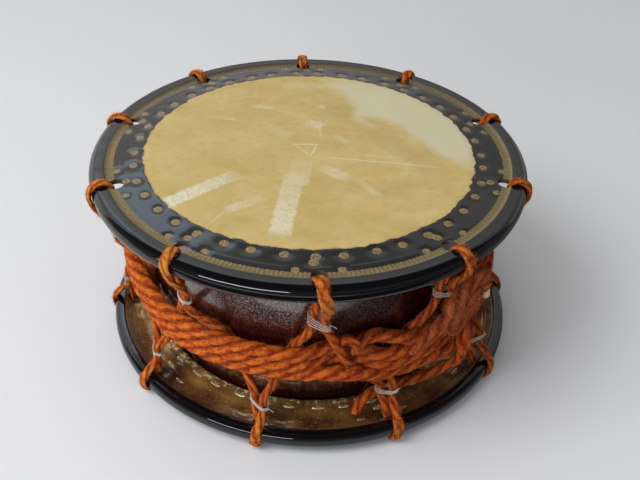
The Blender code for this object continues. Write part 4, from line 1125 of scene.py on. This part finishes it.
def band_point(turn):
    """The tension rope after so many turns; it dips under the crossing leg at the front."""
    azimuth = BAND_START + 2 * math.pi * turn
    level = sum(smooth_step((turn - k) / BAND_STEP + 0.5) for k in range(BAND_TURNS + 1)) - 1
    radius, rise = BAND_RADIUS, BAND_TOP - BAND_PITCH * level + bump_at(azimuth)
    near = math.exp(-((turned_by(azimuth, CROSSING_AZIMUTH) / math.radians(8.0)) ** 4))
    crossing = round(turn)
    if 1 <= crossing < BAND_TURNS:
        radius -= (BAND_RADIUS - BELLY_RADIUS - TENSION_RADIUS - 1.5 * GAP) * near
        rise += 0.0014 * near
    if crossing == BAND_TURNS:
        radius += 0.0040 * near
        rise += 0.0052 * near
    if crossing == 0:
        radius -= 0.0052 * (1 - smooth_step(turn * 26))
        rise += 0.0032 * near
    return round_drum(azimuth, radius, rise)


# The rope's own end comes out behind the crossing leg and stands up as a small ear beside it
HITCH = ((-82.0, 0.1478, 0.0040), (-80.6, 0.1505, 0.0098), (-79.3, 0.1545, 0.0150), (-78.1, 0.1570, 0.0150),
         (-77.1, 0.1575, 0.0105), (-76.8, 0.1560, 0.0050), (-76.9, 0.1525, 0.0005))
LOWER_STRAND = ((-54.0, 0.0014, -0.0286), (-49.0, 0.0036, -0.0284))
TAIL_ROUTE = ((-44.3, 0.0152, -0.0280), (-44.5, 0.0130, -0.0375), (-45.6, 0.0075, -0.0450),
              (-49.0, 0.0015, -0.0515), (-53.0, -0.0025, -0.0535), (-57.5, -0.0050, -0.0540),
              (-62.0, -0.0062, -0.0540), (-67.0, -0.0064, -0.0535), (-71.2, -0.0050, -0.0540),
              (-74.3, -0.0010, -0.0580), (-76.3, 0.0032, -0.0640))


def tension_rows():
    """Rows of place, half width, half depth and wear: the hitch, the three turns and the knot."""
    points = [round_drum(math.radians(a), r, z) for a, r, z in HITCH]
    stops = list(np.arange(2.0, BAND_END_TURN * 360, 360 / BAND_FACETS) / 360)
    for n in range(1, BAND_TURNS + 1):
        middle = n + math.degrees(CROSSING_AZIMUTH - BAND_START) / 360
        stops += [middle + d / 360 for d in (-11, -7.5, -3.5, 0, 3.5, 7.5, 11)]
    stops = sorted(s for s in stops if s < BAND_END_TURN) + [BAND_END_TURN]
    kept = [stops[0]]
    for stop in stops[1:]:
        if stop - kept[-1] > 2.4 / 360:
            kept.append(stop)
    points += [band_point(s) for s in kept]
    points += [round_drum(math.radians(a), BAND_RADIUS + out, z) for a, out, z in LOWER_STRAND]
    for angle in np.radians(np.linspace(-90.0, 180.0, 10)):
        part = (angle + math.pi / 2) / (1.5 * math.pi)
        radius = BAND_RADIUS + KNOT_OUT + part * (2 * TENSION_RADIUS + GAP - 0.0010)
        azimuth = KNOT_AZIMUTH + KNOT_LOOP_RADIUS * math.cos(angle) / radius
        points.append(round_drum(azimuth, radius, KNOT_RISE + KNOT_LOOP_RADIUS * math.sin(angle)))
    tail = [round_drum(math.radians(a), BAND_RADIUS + out, z) for a, out, z in TAIL_ROUTE]
    ear = len(HITCH)
    sizes = np.full(len(points) + 1, TENSION_RADIUS)
    sizes[:ear] = HITCH_RADIUS
    sizes[ear] = (HITCH_RADIUS + TENSION_RADIUS) / 2
    return [(*p, size, size, 0.0) for p, size in zip(points + tail[:1], sizes)], tail


def carried_hints(path, first, start):
    """Side directions carried both ways along a path without twisting."""
    along = unit(np.gradient(path, axis=0))
    hints = np.zeros_like(path)
    hints[start] = unit(first - along[start] * (first @ along[start]))
    for way in (1, -1):
        i = start + way
        while 0 <= i < len(path):
            hint = hints[i - way]
            hints[i] = unit(hint - along[i] * (hint @ along[i]))
            i += way
    return hints


def round_rope(name, rows, spacing, full, relief, seed, press=2.0):
    line, cuts = even_line(rows, spacing)
    hints = carried_hints(line[:, :3], UP, len(line) // 3)
    made, coat = laid_rope(name, line, cuts, hints, LAY, 3, 24, orange_hemp, full, relief, seed, press)
    coats.append(coat)
    return made


band, tail = tension_rows()
tension = round_rope("tension_rope_laid", band, 0.0011, 1.15, 0.34, 1.0, press=3.2)
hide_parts("tension_rope")
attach(tension, "root")
rows = [(*p, TENSION_RADIUS, TENSION_RADIUS, 0.0) for p in tail]
end = round_rope("tension_rope_tail", rows, 0.0011, 0.92, 0.6, 2.0)
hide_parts("tension_rope")
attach(end, "root")

# Bow and bound tip
# The tension rope's other end, left over from winding, folded to and fro beside itself on the right
# and tucked over the band. Its end is bound with pale tape.
BOW_RADIUS = 0.0040
BOW_AZIMUTH = math.radians(-48.0)
BOW_RISE = 0.0148
BOW_SLOPE = math.radians(30.0)
BOW_PITCH = 0.0098
BOW_FOOT = ((-58.6, 0.1600, -0.0040), (-60.2, 0.1560, -0.0110))
BOW_LEAN = 0.35
BOW_LEAN_MOST = 0.0062
FACET = math.cos(math.pi / 6)


def on_bow(along, across):
    """A point of the bow's own plane, laid on the cylinder outside the band."""
    s = along * math.cos(BOW_SLOPE) + across * math.sin(BOW_SLOPE)
    rise = BOW_RISE + along * math.sin(BOW_SLOPE) - across * math.cos(BOW_SLOPE)
    radius = BAND_RADIUS + (TENSION_RADIUS + BOW_RADIUS) * FACET + GAP / 2
    radius += min(max(0.0, rise - 0.008) * BOW_LEAN, BOW_LEAN_MOST)
    return round_drum(BOW_AZIMUTH + s / radius, radius, rise)


def bow_points():
    p = BOW_PITCH

    def half_turn(from_across, to_across, end, side, steps):
        middle, radius = (from_across + to_across) / 2, (to_across - from_across) / 2
        return [on_bow(end + side * abs(radius) * math.sin(a), middle - radius * math.cos(a))
                for a in np.linspace(0.0, math.pi, steps)]

    points = [on_bow(3.30 * p, 0.8 * p), on_bow(3.32 * p, -0.2 * p), on_bow(3.24 * p, -1.1 * p)]
    points += [on_bow(2.79 * p, -1.75 * p), on_bow(1.91 * p, -2 * p)]
    points += half_turn(-2 * p, -p, 0.21 * p, -1.0, 5)
    points += half_turn(-p, 2 * p, 0.69 * p, 1.0, 8)
    points += half_turn(2 * p, p, -0.21 * p, -1.0, 5)
    points += half_turn(p, 0.0, 0.53 * p, 1.0, 5)
    points += [on_bow(-1.49 * p, 0.0), on_bow(-2.55 * p, 0.02 * p)]
    return points + [on_bow(-4.1 * p, 0.0)] + [round_drum(math.radians(a), r, z) for a, r, z in BOW_FOOT]


folded = bow_points()
# the folds are pulled open and felted; the end that goes back under the band is still a rope
slim = np.interp(np.arange(len(folded)), [0, len(folded) - 6, len(folded) - 4, len(folded) - 1], [1.1, 1.1, 0.72, 0.72])
rows = [(*p, BOW_RADIUS * k, BOW_RADIUS * min(k, 0.84), 2.2 * (1.1 - k)) for p, k in zip(folded, slim)]
# the bow is the same rope with a darker, browner copy of its finish: painted shade under the rim
shaded_orange_hemp = rope_finish("orange_dyed_hemp_rope_painted_shade", "#54200F", "#863A1E", "#B06034", "#C4602A", 0.0009)
line, cuts = even_line(rows, 0.0011)
outwards = unit((line[:, :3] - SHELL_CENTRE) * [1.0, 1.0, 0.0])
hints = np.cross(np.gradient(line[:, :3], axis=0), outwards)
bow, coat = laid_rope("tension_rope_bow_laid", line, cuts, hints, LAY, 3, 24, shaded_orange_hemp, 1.42, 0.25, 3.0, 3.4)
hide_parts("tension_rope_bow")
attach(bow, "root")
loose, shader = finish("loose_orange_hemp_fibres", "#CC6426", 0.9, Specular_IOR_Level=0.15)
place = add(loose, "TexCoord").outputs["Object"]
lot = add(loose, "TexNoise", {"Scale": 700.0, "Detail": 2.0}, {"Vector": place})
tone = add(loose, "MixRGB", {"Color1": linear("#862E12"), "Color2": linear("#E08A3C")}, {"Fac": lot})
wire(loose, tone, shader.inputs["Base Color"])
# a darker copy of the loose fibres for the bow: painted shade
loose_shaded_fibres, _ = finish("loose_hemp_fibres_painted_shade", "#A4532C", 0.9, Specular_IOR_Level=0.15)
lint, _ = finish("pale_hemp_lint", "#D8A080", 0.9)
fuzz("lacing_fibres", coats[:1], 20000, 0.0026, 0.00010, 1, loose, 5)
fuzz("tension_fibres", coats[1:], 20000, 0.0026, 0.00010, 1, loose, 6)
fuzz("bow_fibres", [coat], 9000, 0.0030, 0.00010, 1, loose_shaded_fibres, 7)
fuzz("long_fibres", coats + [coat], 4500, 0.0060, 0.00009, 2, loose, 8)
fuzz("pale_lint", coats + [coat], 1800, 0.0065, 0.00009, 2, lint, 9)

bound, shader = finish("pale_cloth_tape", "#D8C48A", 0.6)
place = add(bound, "TexCoord").outputs["Object"]
weave = add(bound, "TexNoise", {"Scale": 500.0, "Detail": 3.0}, {"Vector": place})
tone = add(bound, "MixRGB", {"Color1": linear("#B99A58"), "Color2": linear("#E6D7A6")}, {"Fac": weave})
wire(bound, tone, shader.inputs["Base Color"])
TIP_LENGTH = 0.018
ahead = unit(folded[0] - folded[1])
stops = np.linspace(0.0, 1.0, 40)
path = folded[0] + np.outer(GAP + stops * TIP_LENGTH, ahead)
size = BOW_RADIUS * np.interp(stops, [0.0, 0.55, 0.85, 1.0], [1.0, 0.9, 0.82, 0.65])
size = size * (1 + 0.03 * np.sin(stops * 40))
_, across, out = rope_frame(path, np.tile(UP, (40, 1)))
turn = np.arange(20) * 2 * math.pi / 20
ring = path[:, None] + across[:, None] * np.outer(size, np.cos(turn))[..., None] \
    + out[:, None] * np.outer(size, np.sin(turn))[..., None]
tip = lay_quads("bound_tip", ring, [bound], around=True, ends=True, sharp=50.0)
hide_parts("tension_rope_tip")
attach(tip, "root")

# Strings
# Thin white twisted string tied round the two legs of every loop, so that the loops stay narrow. Old
# string gone greenish and grey, with short frayed ends.
STRING_RADIUS = 0.00040
string = rope_finish("white_cotton_string", "#D2CEBA", "#F6F4E8", "#FFFFFA", "#FFFFFA", 0.0006)


def make_tie(head, number, drop, turns, pitch):
    """A string wound round two legs: an oval coil that climbs by its pitch at each turn."""
    azimuth = head["phase"] + number * LOOP_STEP
    radii = tie_radii(head, number)
    left, right = tie_sides(head, number)
    inner = at_head(head, azimuth, radii[0], -drop, left)
    outer = at_head(head, azimuth, radii[1], -drop, right)
    middle, apart = (inner + outer) / 2, outer - inner
    long_way = unit(apart)
    short_way = np.cross(UP, long_way)
    hug = ROPE_RADIUS * TIE_SQUEEZE + STRING_RADIUS + 0.0002
    steps = 16
    count = int(turns * steps) + 1
    turn = np.arange(count) * 2 * math.pi / steps
    wide = (np.linalg.norm(apart) / 2 + hug) * squared(turn, 2.6) * np.cos(turn)
    slim = hug * squared(turn, 2.6) * np.sin(turn)
    # the turns fan out on one leg and sag between the two
    climb = (np.arange(count) / steps - turns / 2) * pitch
    climb = climb * (1.0 - 0.4 * np.cos(turn)) - 0.0012 * np.sin(turn) ** 2 * np.sin(number * 2.4)
    climb = climb - 0.0016 * np.cos(turn) * math.cos(number * 1.9)
    path = middle + np.outer(wide, long_way) + np.outer(slim, short_way) + np.outer(climb, UP)
    # the two short ends stand off the coil
    reach = np.array([0.0018, 0.0040, 0.0064])
    sag = np.outer([0.0, 0.0004, 0.0014], -UP)
    for side in (1.0, -1.0):
        away = unit(side * long_way * 0.6 * (-1) ** number + short_way * math.sin(number + side) + UP * (0.3 - side))
        if side > 0:
            path = np.concatenate([path, path[-1] + np.outer(reach, away) + sag])
        else:
            path = np.concatenate([(path[0] + np.outer(reach * 0.7, away) + sag)[::-1], path])
    rows = [(*p, STRING_RADIUS, STRING_RADIUS, 0.0) for p in path]
    line, cuts = even_line(rows, 0.0004)
    hints = np.tile(UP, (len(line), 1))
    name = f"{head['name']}_tie_{number + 1:02d}"
    made, _ = laid_rope(name + "_string", line, cuts, hints, 0.0030, 2, 8, string, 1.0, 1.0, number)
    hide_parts(name)
    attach(made, "root")


for head, drops in ((TOP, TOP_TIE_DROPS), (BOTTOM, BOTTOM_TIE_DROPS)):
    for number in range(LOOPS):
        turns, pitch = (4, 0.0021) if head is TOP and number == 0 else (3, 0.0015)
        make_tie(head, number, drops[number], turns, pitch)

size = {"cad": [list(cad_low), list(cad_high)], "visual": [list(v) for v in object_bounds()]}
